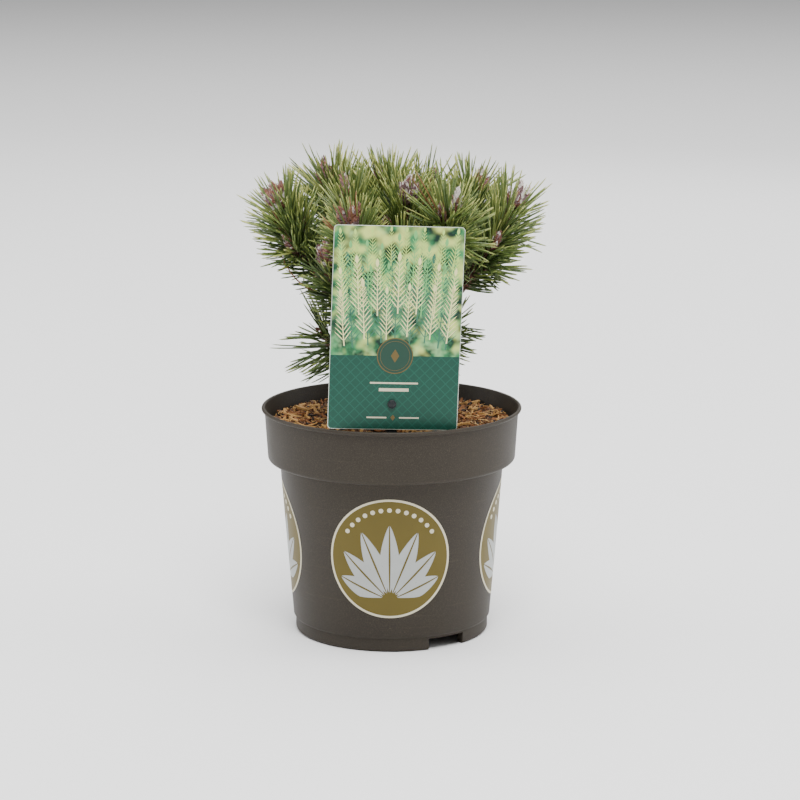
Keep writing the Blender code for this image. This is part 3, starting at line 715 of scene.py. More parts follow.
class CopyTree(CopyNodes):
    """Sets copies where a list has them, with another material on the faces marked as a tip."""

    title = "copies_on_points"
    inputs = {"Overall Size": "Float", "Tip Material": "Material"}

    @staticmethod
    def _named(sheet: Sheet, name: str, kind: str) -> Term:
        """A named attribute of the points."""
        return sheet.add("GeometryNodeInputNamedAttribute", {"data_type": kind}, {"Name": name})

    def placed(self, sheet: Sheet, given: Term) -> dict[str, Term]:
        """Place, turn, size and kind, as the points have them."""
        feeds = {"Vector": self._named(sheet, "size", "FLOAT_VECTOR"),
                 "Scale": given.out("Overall Size")}
        return {
            "Points": given,
            "Instance Index": self._named(sheet, "kind", "INT"),
            "Rotation": self._named(sheet, "turn", "FLOAT_VECTOR"),
            "Scale": sheet.add("ShaderNodeVectorMath", {"operation": "SCALE"}, feeds),
        }

    def tipped(self, sheet: Sheet, given: Term, whole: Term) -> Term:
        """Give the marked faces the tip's material."""
        feeds = {"Geometry": whole, "Selection": self._named(sheet, "tip", "BOOLEAN"),
                 "Material": given.out("Tip Material")}
        return sheet.add("GeometryNodeSetMaterial", None, feeds)

    def run(
        self,
        name: str,
        copies: Sequence[Copy],
        shapes: Shapes,
        finish: Finish,
        tip: Finish | None = None,
    ) -> Obj:
        """Set the copies.

        Args:
            name: The new piece's name.
            copies: Place, turn, size and kind of each.
            shapes: The shapes.
            finish: The material of all copies.
            tip: The material of the faces that a shape marks as its tip.

        Returns:
            The piece.
        """
        mesh = bpy.data.meshes.new(name)
        mesh.from_pydata([c.place for c in copies], [], [])
        for key, kind, part, values in (
            ("turn", "FLOAT_VECTOR", "vector", [a for c in copies for a in c.turn.to_euler()]),
            ("size", "FLOAT_VECTOR", "vector", [a for c in copies for a in c.size]),
            ("kind", "INT", "value", [c.kind for c in copies]),
        ):
            mesh.attributes.new(key, kind, "POINT").data.foreach_set(part, values)
        return self.apply(name, mesh, shapes, material=finish, tip_material=tip or finish,
                          overall_size=1.0)


class ScatterTree(CopyNodes):
    """Strews shapes over a surface by chance, with a fixed seed."""

    title = "strewn_on_surface"
    inputs = {"Density": "Float", "Smallest": "Float", "Largest": "Float", "Tilt": "Float",
              "Lift": "Float", "Seed": "Int"}

    def placed(self, sheet: Sheet, given: Term) -> dict[str, Term]:
        """Points spread by chance, with a chance turn and size of each."""
        seed, tilt = given.out("Seed"), given.out("Tilt")

        def draw(low: Term | float, high: Term | float, step: int) -> Term:
            """A chance number between two, with a seed that is its own."""
            feeds = {2: low, 3: high, "Seed": seed + step}
            return sheet.add("FunctionNodeRandomValue", {"data_type": "FLOAT"}, feeds, 1)

        feeds = {"Mesh": given, "Density": given.out("Density"), "Seed": seed}
        points = sheet.add("GeometryNodeDistributePointsOnFaces", None, feeds)
        turn = {0: draw(tilt * -1.0, tilt, 1), 1: draw(tilt * -1.0, tilt, 2),
                2: draw(0.0, tau, 3)}
        raised = sheet.add("ShaderNodeCombineXYZ", None, {2: given.out("Lift")})
        feeds = {"Geometry": points, "Offset": raised}
        return {
            "Points": sheet.add("GeometryNodeSetPosition", None, feeds),
            "Rotation": sheet.add("ShaderNodeCombineXYZ", None, turn),
            "Scale": draw(given.out("Smallest"), given.out("Largest"), 4),
        }


# Pot


@dataclass
class Pot:
    """The moulded pot, a thin shell with a rolled lip, a collar on a ledge and a foot ring."""

    segments: int = 240
    height: float = 0.167
    rim_radius: float = 0.095
    lip_radius: float = 0.0014
    wall: float = 0.0013
    collar_top: float = 0.0928
    collar_foot: float = 0.0906
    collar_depth: float = 0.0395
    collar_fillet: float = 0.003
    collar_step: Pair = (0.0004, 0.0005)
    ledge_fillet: float = 0.0008
    body_top: float = 0.0819
    body_foot: float = 0.0724
    step_height: float = 0.0105
    step_crease: float = 0.0003
    step_slant: float = 0.6
    foot_radius: float = 0.0708
    foot_fillet: float = 0.0022
    ring_width: float = 0.0042
    floor_underside: float = 0.0092
    floor_thickness: float = 0.0014
    centre_foot: float = 0.015
    notch_azimuths: Pair = (-55.3, 124.7)
    notch_width: float = 0.030
    notch_height: float = 0.0086
    drains: int = 6
    drain_radius: float = 0.0045
    drain_circle: float = 0.044
    drain_segments: int = 24
    sharp_angle: float = 32.0

    @property
    def ledge(self) -> float:
        """Height of the collar's level underside."""
        return self.height - self.collar_depth

    def outside(self) -> list[Pair]:
        """The outer profile, from the inner edge of the lip down to the foot ring."""
        lip_z = self.height - self.lip_radius
        out, down = self.collar_step
        slant = self.wall * self.step_slant
        collar = (self.collar_foot - self.collar_fillet, self.ledge + self.collar_fillet)
        inner = (self.body_top + self.ledge_fillet, self.ledge - self.ledge_fillet)
        foot = (self.foot_radius - self.foot_fillet, self.foot_fillet)
        return [
            *arc((self.rim_radius - self.lip_radius, lip_z), self.lip_radius, 180, -70, 14),
            (self.collar_top + out, lip_z - self.lip_radius),
            (self.collar_top, lip_z - self.lip_radius - down),
            *arc(collar, self.collar_fillet, 0, -90, 8),
            *arc(inner, self.ledge_fillet, 90, 180, 4),
            (self.body_foot, self.step_height + self.wall),
            (self.body_foot - self.step_crease, self.step_height + slant),
            (self.foot_radius, self.step_height - slant),
            (self.foot_radius, self.step_height - self.wall),
            *arc(foot, self.foot_fillet, 0, -90, 6),
        ]

    def inside(self) -> list[Pair]:
        """The inner profile, from the floor up to the lip."""
        ledge = self.ledge + self.wall
        return [
            (self.foot_radius - self.wall, self.floor_underside + self.floor_thickness),
            (self.body_foot - self.wall, self.step_height + 3 * self.wall),
            (self.body_top - self.wall, ledge),
            (self.collar_foot - 2 * self.wall, ledge),
            (self.collar_foot - self.wall, ledge + self.wall),
            (self.collar_top - self.wall, self.height - 2 * self.lip_radius),
        ]

    def body_radius(self, height: float) -> float:
        """Radius of the outer wall below the collar."""
        low = self.step_height + self.wall
        share = (height - low) / (self.ledge - self.ledge_fillet - low)
        return self.body_foot + (self.body_top - self.body_foot) * share

    def openings(self) -> Obj:
        """Tool for the notches in the foot ring and the drain holes in the floor."""
        bm = bmesh.new()
        for azimuth in self.notch_azimuths:
            turn = Matrix.Rotation(radians(azimuth), 4, "Z")
            size = (4 * self.ring_width, self.notch_width, 2 * self.notch_height, 1.0)
            place = turn @ Matrix.Translation((self.foot_radius, 0, 0)) @ Matrix.Diagonal(size)
            bmesh.ops.create_cube(bm, size=1.0, matrix=place)
        for i in range(self.drains):
            turn = Matrix.Rotation(tau * (i + 0.5) / self.drains, 4, "Z")
            place = turn @ Matrix.Translation((self.drain_circle, 0, self.floor_underside))
            plug(bm, place, self.drain_radius, 4 * self.floor_thickness, self.drain_segments)
        return piece_of("pot_openings", bm, [])

    def build(self) -> None:
        """Turn the shell, cut its openings and dress it."""
        inner = self.foot_radius - self.foot_fillet - self.ring_width
        profile = [
            (0.0, self.floor_underside + self.floor_thickness),
            *self.inside(),
            *self.outside(),
            (inner, 0.0),
            (inner, self.floor_underside),
            (self.centre_foot, self.floor_underside),
            (self.centre_foot, 0.0),
            (0.0, 0.0),
        ]
        shell = piece_of("pot_shell", turned(profile, self.segments), [Surface.POT])
        cut_out(shell, self.openings())
        shade(shell.data, self.sharp_angle)
        settle(shell, ["pot"])


class Plates:
    """Thin closed plates laid on a surface that a function of three lengths describes."""

    def __init__(self, place: Callable[[float, float, float], Vector]) -> None:
        """Start an empty mesh.

        Args:
            place: The point at a place across, a place along and a height over the surface.
        """
        self.place = place
        self.bm = bmesh.new()
        self.uv = self.bm.loops.layers.uv.new("print")

    def patch(
        self,
        shape: Callable[[float, float], Pair],
        cells: tuple[int, int],
        heights: Pair,
        index: int = 0,
        closed: bool = False,
    ) -> None:
        """Add a plate.

        Args:
            shape: The place of a point by its shares across and along, from zero to one.
            cells: How many faces it has across and along.
            heights: Heights of its underside and its top over the surface.
            index: Its material.
            closed: Whether its end joins its start, as in a disc.
        """
        across, along = cells
        sides = []
        for height in heights:
            grid = []
            for j in range(along if closed else along + 1):
                spots = [shape(i / across, j / along) for i in range(across + 1)]
                grid.append([(self.bm.verts.new(self.place(*s, height)), s) for s in spots])
            sides.append(grid + grid[:1] if closed else grid)
        low, high = sides
        for j in range(along):
            for i in range(across):
                self._face((high[j][i], high[j][i + 1], high[j + 1][i + 1], high[j + 1][i]), index)
                self._face((low[j][i], low[j + 1][i], low[j + 1][i + 1], low[j][i + 1]), index)
        walls = [((j, across), (j + 1, across)) for j in range(along)]
        walls += [((j + 1, 0), (j, 0)) for j in range(along)]
        if not closed:
            walls += [((0, i), (0, i + 1)) for i in range(across)]
            walls += [((along, i + 1), (along, i)) for i in range(across)]
        for (j, i), (n, m) in walls:
            self._face((low[j][i], low[n][m], high[n][m], high[j][i]), index)

    def _face(self, corners: Sequence[tuple[Any, Pair]], index: int) -> None:
        """Add a face with its own coordinates, in tenths of a metre."""
        face = self.bm.faces.new([vert for vert, _ in corners])
        face.material_index = index
        for loop, (_, spot) in zip(face.loops, corners):
            loop[self.uv].uv = (spot[0] * 10, spot[1] * 10)

    def disc(
        self, centre: Pair, radii: Pair, cells: tuple[int, int], heights: Pair, index: int = 0
    ) -> None:
        """Add a ring, or a disc where the inner one of its radii is zero, as patch does."""
        self.patch(partial(self.polar, centre, radii), cells, heights, index, closed=True)

    @staticmethod
    def polar(centre: Pair, radii: Pair, share: float, turn: float) -> Pair:
        """A place by its share outwards and its share of a turn."""
        reach = radii[0] + (radii[1] - radii[0]) * share
        angle = tau * turn
        return (centre[0] + reach * cos(angle), centre[1] + reach * sin(angle))

    def finish(self, name: str, finishes: Sequence[Surface], sharp_angle: float = 40.0) -> Obj:
        """Merge the corners that meet, point the faces outwards and make the piece."""
        bmesh.ops.remove_doubles(self.bm, verts=self.bm.verts, dist=1e-6)
        return piece_of(name, outwards(self.bm), finishes, sharp_angle)


@dataclass
class Badges:
    """Four round prints on the pot: a gold disc, a cream ring and a silver fan of leaves."""

    pot: Pot
    centre_height: float = 0.0710
    radius: float = 0.0446
    ring: float = 0.0016
    cells_round: int = 96
    cells_out: int = 14
    leaves: int = 7
    leaf_length: float = 0.056
    leaf_width: float = 0.0135
    leaf_shortens: float = 0.30
    leaf_cells: tuple[int, int] = (3, 18)
    midrib: float = 0.0003
    fan: float = 66.0
    root: float = 0.031
    bare_root: float = 0.18
    dots: int = 13
    dot_radius: float = 0.0017
    dot_circle: float = 0.0365
    dot_cells: tuple[int, int] = (1, 16)
    dot_step: float = 9.6
    ink_foot: float = 0.00002
    ink: float = 0.00006
    azimuths: tuple[float, ...] = (-90.9, -0.9, 89.1, 179.1)

    def on_wall(self, azimuth: float, across: float, along: float, height: float) -> Vector:
        """A point on the wall, from the middle of the print at an azimuth."""
        z = self.centre_height + along
        radius = self.pot.body_radius(z)
        angle = radians(azimuth) + across / radius
        out = radius + height
        return Vector((out * cos(angle), out * sin(angle), z))

    def leaf(self, angle: float, length: float, side: int, across: float, along: float) -> Pair:
        """A place on half a leaf beside its midrib.

        Args:
            angle: The leaf's direction from straight up, in radians.
            length: Its length.
            side: Minus one for the left half and one for the right.
            across: The share of the way from the midrib to the edge.
            along: The share of the way from the root to the tip.

        Returns:
            The place on the print.
        """
        swell = sin(pi * along ** 0.8) ** 0.8
        half = self.leaf_width / 2 * swell * (0.06 + 0.94 * across)
        bare = self.root * self.bare_root
        out = bare + (length - bare) * along
        x = side * half * (0.35 + 0.65 * min(1.0, along * 2.2)) + side * self.midrib
        return (out * sin(angle) + x * cos(angle),
                -self.root + out * cos(angle) - x * sin(angle))

    def one(self, plates: Plates) -> None:
        """One badge: its disc, its ring, its leaves and its dots."""
        flat, raised = (self.ink_foot, self.ink), (self.ink_foot, self.ink * 2)
        inner = self.radius - self.ring
        plates.disc((0, 0), (0.0, inner), (self.cells_out, self.cells_round), flat, 0)
        plates.disc((0, 0), (inner, self.radius), (1, self.cells_round), raised, 1)
        for k in range(self.leaves):
            share = 2 * k / (self.leaves - 1) - 1
            length = self.leaf_length * (1 - self.leaf_shortens * share ** 2)
            for side in (-1, 1):
                half = partial(self.leaf, radians(self.fan) * share, length, side)
                plates.patch(half, self.leaf_cells, raised, 2)
        for k in range(self.dots):
            angle = radians(90 + self.dot_step * (k - (self.dots - 1) / 2))
            spot = (self.dot_circle * cos(angle), self.dot_circle * sin(angle))
            plates.disc(spot, (0.0, self.dot_radius), self.dot_cells, raised, 1)

    def build(self) -> None:
        """Print all four badges as one piece."""
        plates = Plates(partial(self.on_wall, self.azimuths[0]))
        for azimuth in self.azimuths:
            plates.place = partial(self.on_wall, azimuth)
            self.one(plates)
        inks = [Surface.GOLD, Surface.CREAM, Surface.SILVER]
        settle(plates.finish("pot_badges", inks))


# Mulch


@dataclass(frozen=True)
class Litter:
    """How one kind of bark pieces lies: its ring on the bed, and how many, large and steep.

    The pieces of each next tone lie higher by lift_step and have a seed larger by seed_step.
    """

    kind: str
    finish: str
    ring: Pair
    per_area: float
    sizes: Pair
    tilt: float
    lift: float
    lift_step: float
    seed: int
    seed_step: int
    roughness: float


@dataclass
class Mulch:
    """Bark mulch: a crumbly bed with chips, shreds and fibres strewn over it."""

    pot: Pot
    seed: int = 21
    depth: float = 0.0135
    mound: float = 0.006
    noise_level: float = 0.021
    bump: float = 0.0016
    bumps_per_metre: float = 90.0
    grain: float = 0.0011
    grains_per_metre: float = 420.0
    edge: float = 0.0896
    edge_fade: float = 0.002
    edge_sunk: float = 0.0008
    sunk: float = 0.0006
    foot: Pair = (0.004, 0.008)
    foot_shift_reach: float = 0.03
    seat: float = 0.021
    seat_rise: float = 0.8
    rings: int = 64
    spokes: int = 180
    ground_cells: tuple[int, int] = (24, 72)
    chip_kinds: int = 12
    chip_length: Pair = (0.006, 0.013)
    chip_width: Pair = (0.0014, 0.0036)
    chip_thickness: Pair = (0.0005, 0.0011)
    chip_bend: Pair = (-0.0012, 0.0012)
    fibre_kinds: int = 6
    fibre_length: Pair = (0.010, 0.022)
    fibre_bow: Pair = (-0.004, 0.004)
    fibre_lift: Pair = (0.0, 0.003)
    fibre_radius: Pair = (0.00022, 0.0005)
    fibre_taper: tuple[float, ...] = (0.5, 1.0, 1.0, 0.9, 0.7, 0.4)
    chips: Litter = Litter(
        "chips", "chip", (0.012, 0.0835), 36000.0, (0.6, 1.35), 0.36, 0.0003, 0.0005, 5, 1, 0.85)
    crumbs: Litter = Litter(
        "crumbs", "chip", (0.0795, 0.0872), 90000.0, (0.25, 0.48), 0.5, 0.0003, 0.0005, 15, 1, 0.85)
    fibres: Litter = Litter(
        "fibres", "fibre", (0.012, 0.0835), 32000.0, (0.45, 1.0), 0.38, 0.0015, 0.0, 31, 16, 0.9)
    # Bark colours, dark to tan, each higher: painted shade in the gaps, painted highlight on top.
    tones: tuple[Dye, ...] = (
        ("dark", "1c120b", 1.25),
        ("brown", "56371e", 1.0),
        ("russet", "7c4d22", 0.7),
        ("tan", "ab8148", 0.6),
    )
    threads: tuple[Dye, ...] = (
        ("pale", "bd9a64", 0.8125),
        ("rust", "6f4828", 1.0),
    )

    def level(self, x: float, y: float) -> float:
        """Height of the bed at a place."""
        base = self.pot.height - self.depth
        dome = self.mound * (1 - min(1.0, hypot(x, y) / self.pot.rim_radius) ** 2)
        rough = self.bump * noise.noise(Vector((x, y, self.noise_level)) * self.bumps_per_metre)
        fine = self.grain * noise.noise(Vector((x, y, 0.0)) * self.grains_per_metre)
        near = hypot(x - self.foot[0], y - self.foot[1]) / self.seat
        calm = min(1.0, near ** 2)
        seat = self.mound * (1 - calm) * self.seat_rise
        return base + dome * calm + seat + (rough + fine) * calm - self.sunk

    def bed(self) -> Obj:
        """The fill: a closed body with a crumbly top."""
        base = self.pot.height - self.depth
        side = [(r - self.sunk, z + self.sunk) for r, z in self.pot.inside() if z < base]
        profile = [(0.0, side[0][1]), *side, (self.edge, base)]
        profile += [(self.edge * (1 - i / self.rings), base) for i in range(1, self.rings + 1)]
        bm = turned(profile, self.spokes)
        low = base - self.edge_sunk
        for vert in bm.verts:
            x, y, z = vert.co
            if z > base - 1e-6:
                share = min(1.0, (self.edge - hypot(x, y)) / self.edge_fade)
                vert.co.z = low + (self.level(x, y) - low) * share
        return piece_of("mulch_bed", bm, [Surface.SOIL])

    def ground(self, inner: float, outer: float) -> Mesh:
        """An open ring of the surface that chips are strewn on."""
        bm = bmesh.new()
        steps, cells = self.ground_cells
        rings = []
        for i in range(steps + 1):
            radius = inner + (outer - inner) * i / steps
            middle = max(0.0, 1 - radius / self.foot_shift_reach)
            ring = []
            for k in range(cells):
                angle = tau * k / cells
                x = radius * cos(angle) + self.foot[0] * middle
                y = radius * sin(angle) + self.foot[1] * middle
                ring.append(bm.verts.new((x, y, self.level(x, y))))
            rings.append(ring)
        for low, high in zip(rings, rings[1:]):
            for k in range(cells):
                n = (k + 1) % cells
                bm.faces.new((low[k], high[k], high[n], low[n]))
        return mesh_of("mulch_ground", bm)

    def chip(self, rng: Random) -> Bm:
        """A split chip: a flat, uneven, slightly bent slab with ragged ends."""
        bm = bmesh.new()
        length, width = rng.uniform(*self.chip_length), rng.uniform(*self.chip_width)
        thick, bend = rng.uniform(*self.chip_thickness), rng.uniform(*self.chip_bend)
        rows = []
        for i in range(4):
            share = i / 3
            x = (share - 0.5) * length
            half = width / 2 * (0.45 + 0.55 * sin(pi * (0.12 + 0.76 * share)))
            half *= rng.uniform(0.7, 1.15)
            z = bend * (2 * share - 1) ** 2
            skew = rng.uniform(-0.25, 0.25) * width
            row = [(x, skew - half, z), (x, skew + half, z),
                   (x, skew + half * 0.8, z + thick), (x, skew - half * 0.8, z + thick)]
            rows.append([bm.verts.new(p) for p in row])
        for low, high in zip(rows, rows[1:]):
            bridge(bm, low, high)
        bm.faces.new(rows[0])
        bm.faces.new(rows[-1])
        return bm

    def fibre(self, rng: Random) -> Bm:
        """A thin curved fibre."""
        bm = bmesh.new()
        length, bow = rng.uniform(*self.fibre_length), rng.uniform(*self.fibre_bow)
        lift = rng.uniform(*self.fibre_lift)
        path = []
        for i in range(len(self.fibre_taper)):
            share = i / (len(self.fibre_taper) - 1)
            arch = sin(pi * share)
            path.append(Vector(((share - 0.5) * length, bow * arch, lift * arch)))
        radius = rng.uniform(*self.fibre_radius)
        sweep(bm, path, [radius * s for s in self.fibre_taper], 3)
        return bm

    def strew(
        self, scatter: ScatterTree, litter: Litter, shapes: Shapes, tones: Sequence[Dye], i: int
    ) -> None:
        """Strew one tone of a kind of litter.

        Args:
            scatter: The tree that strews.
            litter: The kind.
            shapes: Its shapes.
            tones: Name, colour and share of the usual number of each tone.
            i: Which tone it is.
        """
        name, code, share = tones[i]
        finish = Finish(f"{litter.finish}_{name}", code, litter.roughness)
        # Later tones lie higher: dark chips low as painted shade, tan on top as painted highlight.
        piece = scatter.apply(
            f"mulch_{litter.kind}_{name}", self.ground(*litter.ring), shapes, material=finish,
            density=litter.per_area * share, smallest=litter.sizes[0], largest=litter.sizes[1],
            tilt=litter.tilt, lift=litter.lift + litter.lift_step * i,
            seed=litter.seed + litter.seed_step * i)
        settle(piece)

    def build(self, scatter: ScatterTree) -> None:
        """Build the bed and strew chips and fibres on it."""
        settle(self.bed(), ["mulch"])
        rng = Random(self.seed)
        chips = Shapes("chip", [self.chip(rng) for _ in range(self.chip_kinds)], smooth=False)
        fibres = Shapes("fibre", [self.fibre(rng) for _ in range(self.fibre_kinds)])
        for i in range(len(self.tones)):
            self.strew(scatter, self.chips, chips, self.tones, i)
            self.strew(scatter, self.crumbs, chips, self.tones, i)
        for i in range(len(self.threads)):
            self.strew(scatter, self.fibres, fibres, self.threads, i)
        chips.clear()
        fibres.clear()


# Label


@dataclass
class Label:
    """The label card with its print, held by the knob of a flat stake."""

    seed: int = 8
    width: float = 0.092
    height: float = 0.145
    thickness: float = 0.0005
    corner: float = 0.0028
    rounded: float = 0.0001
    lean: float = 2.2
    turn: float = 6.0
    hole: Triple = (0.0004, -0.080, 0.1846)
    hole_from_middle: float = 0.001
    hole_above_edge: float = 0.0184
    hole_radius: float = 0.0022
    hole_segments: int = 40
    margin: float = 0.0004
    picture_share: float = 0.365
    film: Pair = (0.00001, 0.00004)
    ink_foot: float = 0.00002
    bar_height: float = 0.00014
    disc_heights: Triple = (0.00018, 0.00022, 0.00026)
    disc_radii: Pair = (0.0128, 0.0121)
    disc_line: Pair = (0.0103, 0.0106)
    disc_cells: int = 72
    disc_lozenge: Pair = (0.006, 0.0095)
    upper_bar: Triple = (0.0195, 0.034, 0.0012)
    middle_bar: Triple = (0.0243, 0.021, 0.0022)
    foot_bar: Triple = (0.0115, 0.014, 0.0010)
    foot_line: float = 0.0086
    foot_lozenge: Pair = (0.0034, 0.0042)
    leaf_pairs: int = 9
    sprigs: tuple[tuple[str, str, float, float, int], ...] = (
        ("deep", "2a6b50", 0.003, 0.044, 9),
        ("leafy", "72bb6a", 0.024, 0.036, 8),
        ("fresh", "bfdf6e", 0.040, 0.030, 7),
        ("pale", "ebe8a2", 0.006, 0.038, 6),
    )
    sprig_rows: float = 0.017
    sprig_arch: float = 0.006
    sprig_half: float = 0.26
    sprig_fan: float = 14.0
    sprig_top: float = 0.002
    stake_width: float = 0.007
    stake_thickness: float = 0.002
    stake_top: float = 0.193
    stake_point: float = 0.132
    stake_shoulder: float = 0.139
    stake_bevel: float = 0.0003
    gap: float = 0.0003
    knob_neck: float = 0.0018
    knob_radius: float = 0.0031
    knob_height: float = 0.0018
    knob_edge: float = 0.0003
    knob_segments: int = 48

    @property
    def left(self) -> float:
        """Left edge, from the hole."""
        return self.hole_from_middle - self.width / 2

    @property
    def low(self) -> float:
        """Lower edge, from the hole."""
        return -self.hole_above_edge

    @property
    def high(self) -> float:
        """Upper edge, from the hole."""
        return self.height - self.hole_above_edge

    @property
    def split(self) -> float:
        """Height over the hole at which the picture ends and the panel starts."""
        return -self.hole_above_edge + self.height * self.picture_share

    def frame_of(self) -> Matrix:
        """Where the card hangs."""
        return (Matrix.Translation(self.hole)
                @ Matrix.Rotation(radians(self.turn), 4, "Z")
                @ Matrix.Rotation(radians(self.lean), 4, "Y"))

    def on_card(self, across: float, along: float, height: float) -> Vector:
        """A point on the card's front by its place from the hole."""
        return self.frame_of() @ Vector((across, -height, along))

    def outline(self, inset: float, steps: int = 8) -> list[Pair]:
        """The card's outline with round corners, moved inwards."""
        left, right = self.left + inset, self.left + self.width - inset
        low, high = self.low + inset, self.high - inset
        r = self.corner - inset
        return [
            *arc((right - r, low + r), r, -90, 0, steps),
            *arc((right - r, high - r), r, 0, 90, steps),
            *arc((left + r, high - r), r, 90, 180, steps),
            *arc((left + r, low + r), r, 180, 270, steps),
        ]

    def card(self) -> Obj:
        """The bare sheet with its hole."""
        bm = bmesh.new()
        edge = self.rounded
        rings = []
        for inset, y in ((edge, 0.0), (0.0, edge), (0.0, 4 * edge), (edge, self.thickness)):
            rings.append([bm.verts.new((x, y, z)) for x, z in self.outline(inset)])
        for low, high in zip(rings, rings[1:]):
            bridge(bm, low, high)
        bm.faces.new(rings[0])
        bm.faces.new(list(reversed(rings[-1])))
        outwards(bm).transform(self.frame_of())
        card = piece_of("label_sheet", bm, [Surface.SHEET], 40)
        tool = bmesh.new()
        across = (Matrix.Rotation(radians(self.turn), 4, "Z")
                  @ Matrix.Rotation(pi / 2, 4, "X"))
        plug(tool, Matrix.Translation(self.hole) @ across, self.hole_radius, 8 * self.thickness,
             self.hole_segments)
        cut_out(card, piece_of("label_hole", tool, []))
        return card

    def band(self, low: float, high: float, across: float, along: float) -> Pair:
        """A place on the card between two heights, its rows closest near the round corners."""
        z = low + (high - low) * (0.5 - 0.5 * cos(pi * along))
        radius = self.corner - self.margin
        inset = 0.0
        for corner in (self.low + self.margin, self.high - self.margin):
            near = radius - abs(z - corner)
            if near > 0:
                inset = radius - sqrt(max(0.0, radius ** 2 - near ** 2))
        left = self.left + self.margin + inset
        right = self.left + self.width - self.margin - inset
        return (left + (right - left) * across, z)

    @staticmethod
    def bar(centre: Pair, size: Pair, across: float, along: float) -> Pair:
        """A place in a straight bar, given its middle and its size."""
        return (centre[0] + size[0] * (across - 0.5), centre[1] + size[1] * (along - 0.5))

    @staticmethod
    def lozenge(centre: Pair, size: Pair, across: float, along: float) -> Pair:
        """A place in a lozenge, given its middle and its size."""
        u, v = across - 0.5, along - 0.5
        return (centre[0] + size[0] * (u - v) / 2, centre[1] + size[1] * (u + v) / 2)

    def print_on(self) -> Obj:
        """The print: picture, panel, plain disc, bars and a lozenge."""
        plates = Plates(self.on_card)
        top, bottom = self.high - self.margin, self.low + self.margin
        plates.patch(partial(self.band, self.split, top), (2, 30), self.film, 0)
        plates.patch(partial(self.band, bottom, self.split), (2, 24), self.film, 1)
        middle = self.left + self.width / 2
        centre = (middle, self.split)
        rim, face, line = [(self.ink_foot, height) for height in self.disc_heights]
        plates.disc(centre, (0.0, self.disc_radii[0]), (2, self.disc_cells), rim, 3)
        plates.disc(centre, (0.0, self.disc_radii[1]), (2, self.disc_cells), face, 4)
        plates.disc(centre, self.disc_line, (1, self.disc_cells), line, 3)
        plates.patch(partial(self.lozenge, centre, self.disc_lozenge), (1, 1), line, 3)
        thick = (self.ink_foot, self.bar_height)
        for below, *size in (self.upper_bar, self.middle_bar):
            bar = partial(self.bar, (middle, self.split - below), size)
            plates.patch(bar, (1, 1), thick, 2)
        aside, *size = self.foot_bar
        foot = self.low + self.foot_line
        for side in (-1, 1):
            bar = partial(self.bar, (middle + side * aside, foot), size)
            plates.patch(bar, (1, 1), thick, 2)
        small = partial(self.lozenge, (middle, foot), self.foot_lozenge)
        plates.patch(small, (1, 1), thick, 3)
        inks = [Surface.PICTURE, Surface.PANEL, Surface.CREAM, Surface.DISC_EDGE, Surface.DISC]
        return plates.finish("label_print", inks)

    @staticmethod
    def leaf(up: float, size: float, side: int, across: float, along: float) -> Pair:
        """A place in a sprig's leaf, given how far up it grows, its size and its side."""
        half = 0.034 * sin(pi * min(1.0, along ** 0.7)) * (across - 0.5) * 2
        return (side * (size * along * 0.62 + half * 0.5), up + size * along * 0.7 + half)

    def sprig(self) -> Bm:
        """A flat leafy sprig, one unit tall, for the picture."""
        plates = Plates(lambda across, along, height: Vector((across, -height, along)))
        heights = (0.0, 0.02)
        plates.patch(lambda a, b: ((a - 0.5) * 0.02 * (1.2 - b), b), (1, 3), heights)
        for k in range(self.leaf_pairs):
            share = k / self.leaf_pairs
            up, size = 0.10 + 0.84 * share, 0.27 * (1 - 0.72 * share)
            for side in (-1, 1):
                plates.patch(partial(self.leaf, up, size, side), (1, 4), heights)
        plates.patch(lambda a, b: ((a - 0.5) * 0.07 * sin(pi * (0.12 + 0.88 * b)),
                                   0.92 + 0.16 * b), (1, 3), heights)
        bmesh.ops.remove_doubles(plates.bm, verts=plates.bm.verts, dist=1e-5)
        return plates.bm

    def picture(self, tree: CopyTree) -> None:
        """Rows of leafy sprigs over the picture, paler and larger towards the front."""
        shapes = Shapes("sprig", [self.sprig()], smooth=False)
        rng = Random(self.seed)
        basis = self.frame_of().to_3x3()
        for layer, (name, code, base, size, count) in enumerate(self.sprigs):
            copies = []
            for row, k in [(row, k) for row in range(2) for k in range(count + row)]:
                share = (k + 0.5) / (count + row)
                x = self.left + self.width * share + rng.uniform(-0.001, 0.001)
                z = self.split + base + self.sprig_rows * row + rng.uniform(-0.001, 0.002)
                z += self.sprig_arch * sin(pi * share)
                tall = size * rng.uniform(0.86, 1.08)
                tall = min(tall, self.high - self.sprig_top - z)
                fan = Matrix.Rotation(radians(self.sprig_fan) * (share - 0.5), 3, "Y")
                half = tall * self.sprig_half
                x = min(max(x, self.left + half), self.left + self.width - half)
                place = self.on_card(x, z, 0.00005 + 0.00002 * layer)
                copies.append(Copy(place, basis @ fan, Vector((tall, 0.002, tall))))
            finish = Finish("sprig_" + name, code, 0.34, 0.25)
            settle(tree.run("label_sprigs_" + name, copies, shapes, finish))
        shapes.clear()

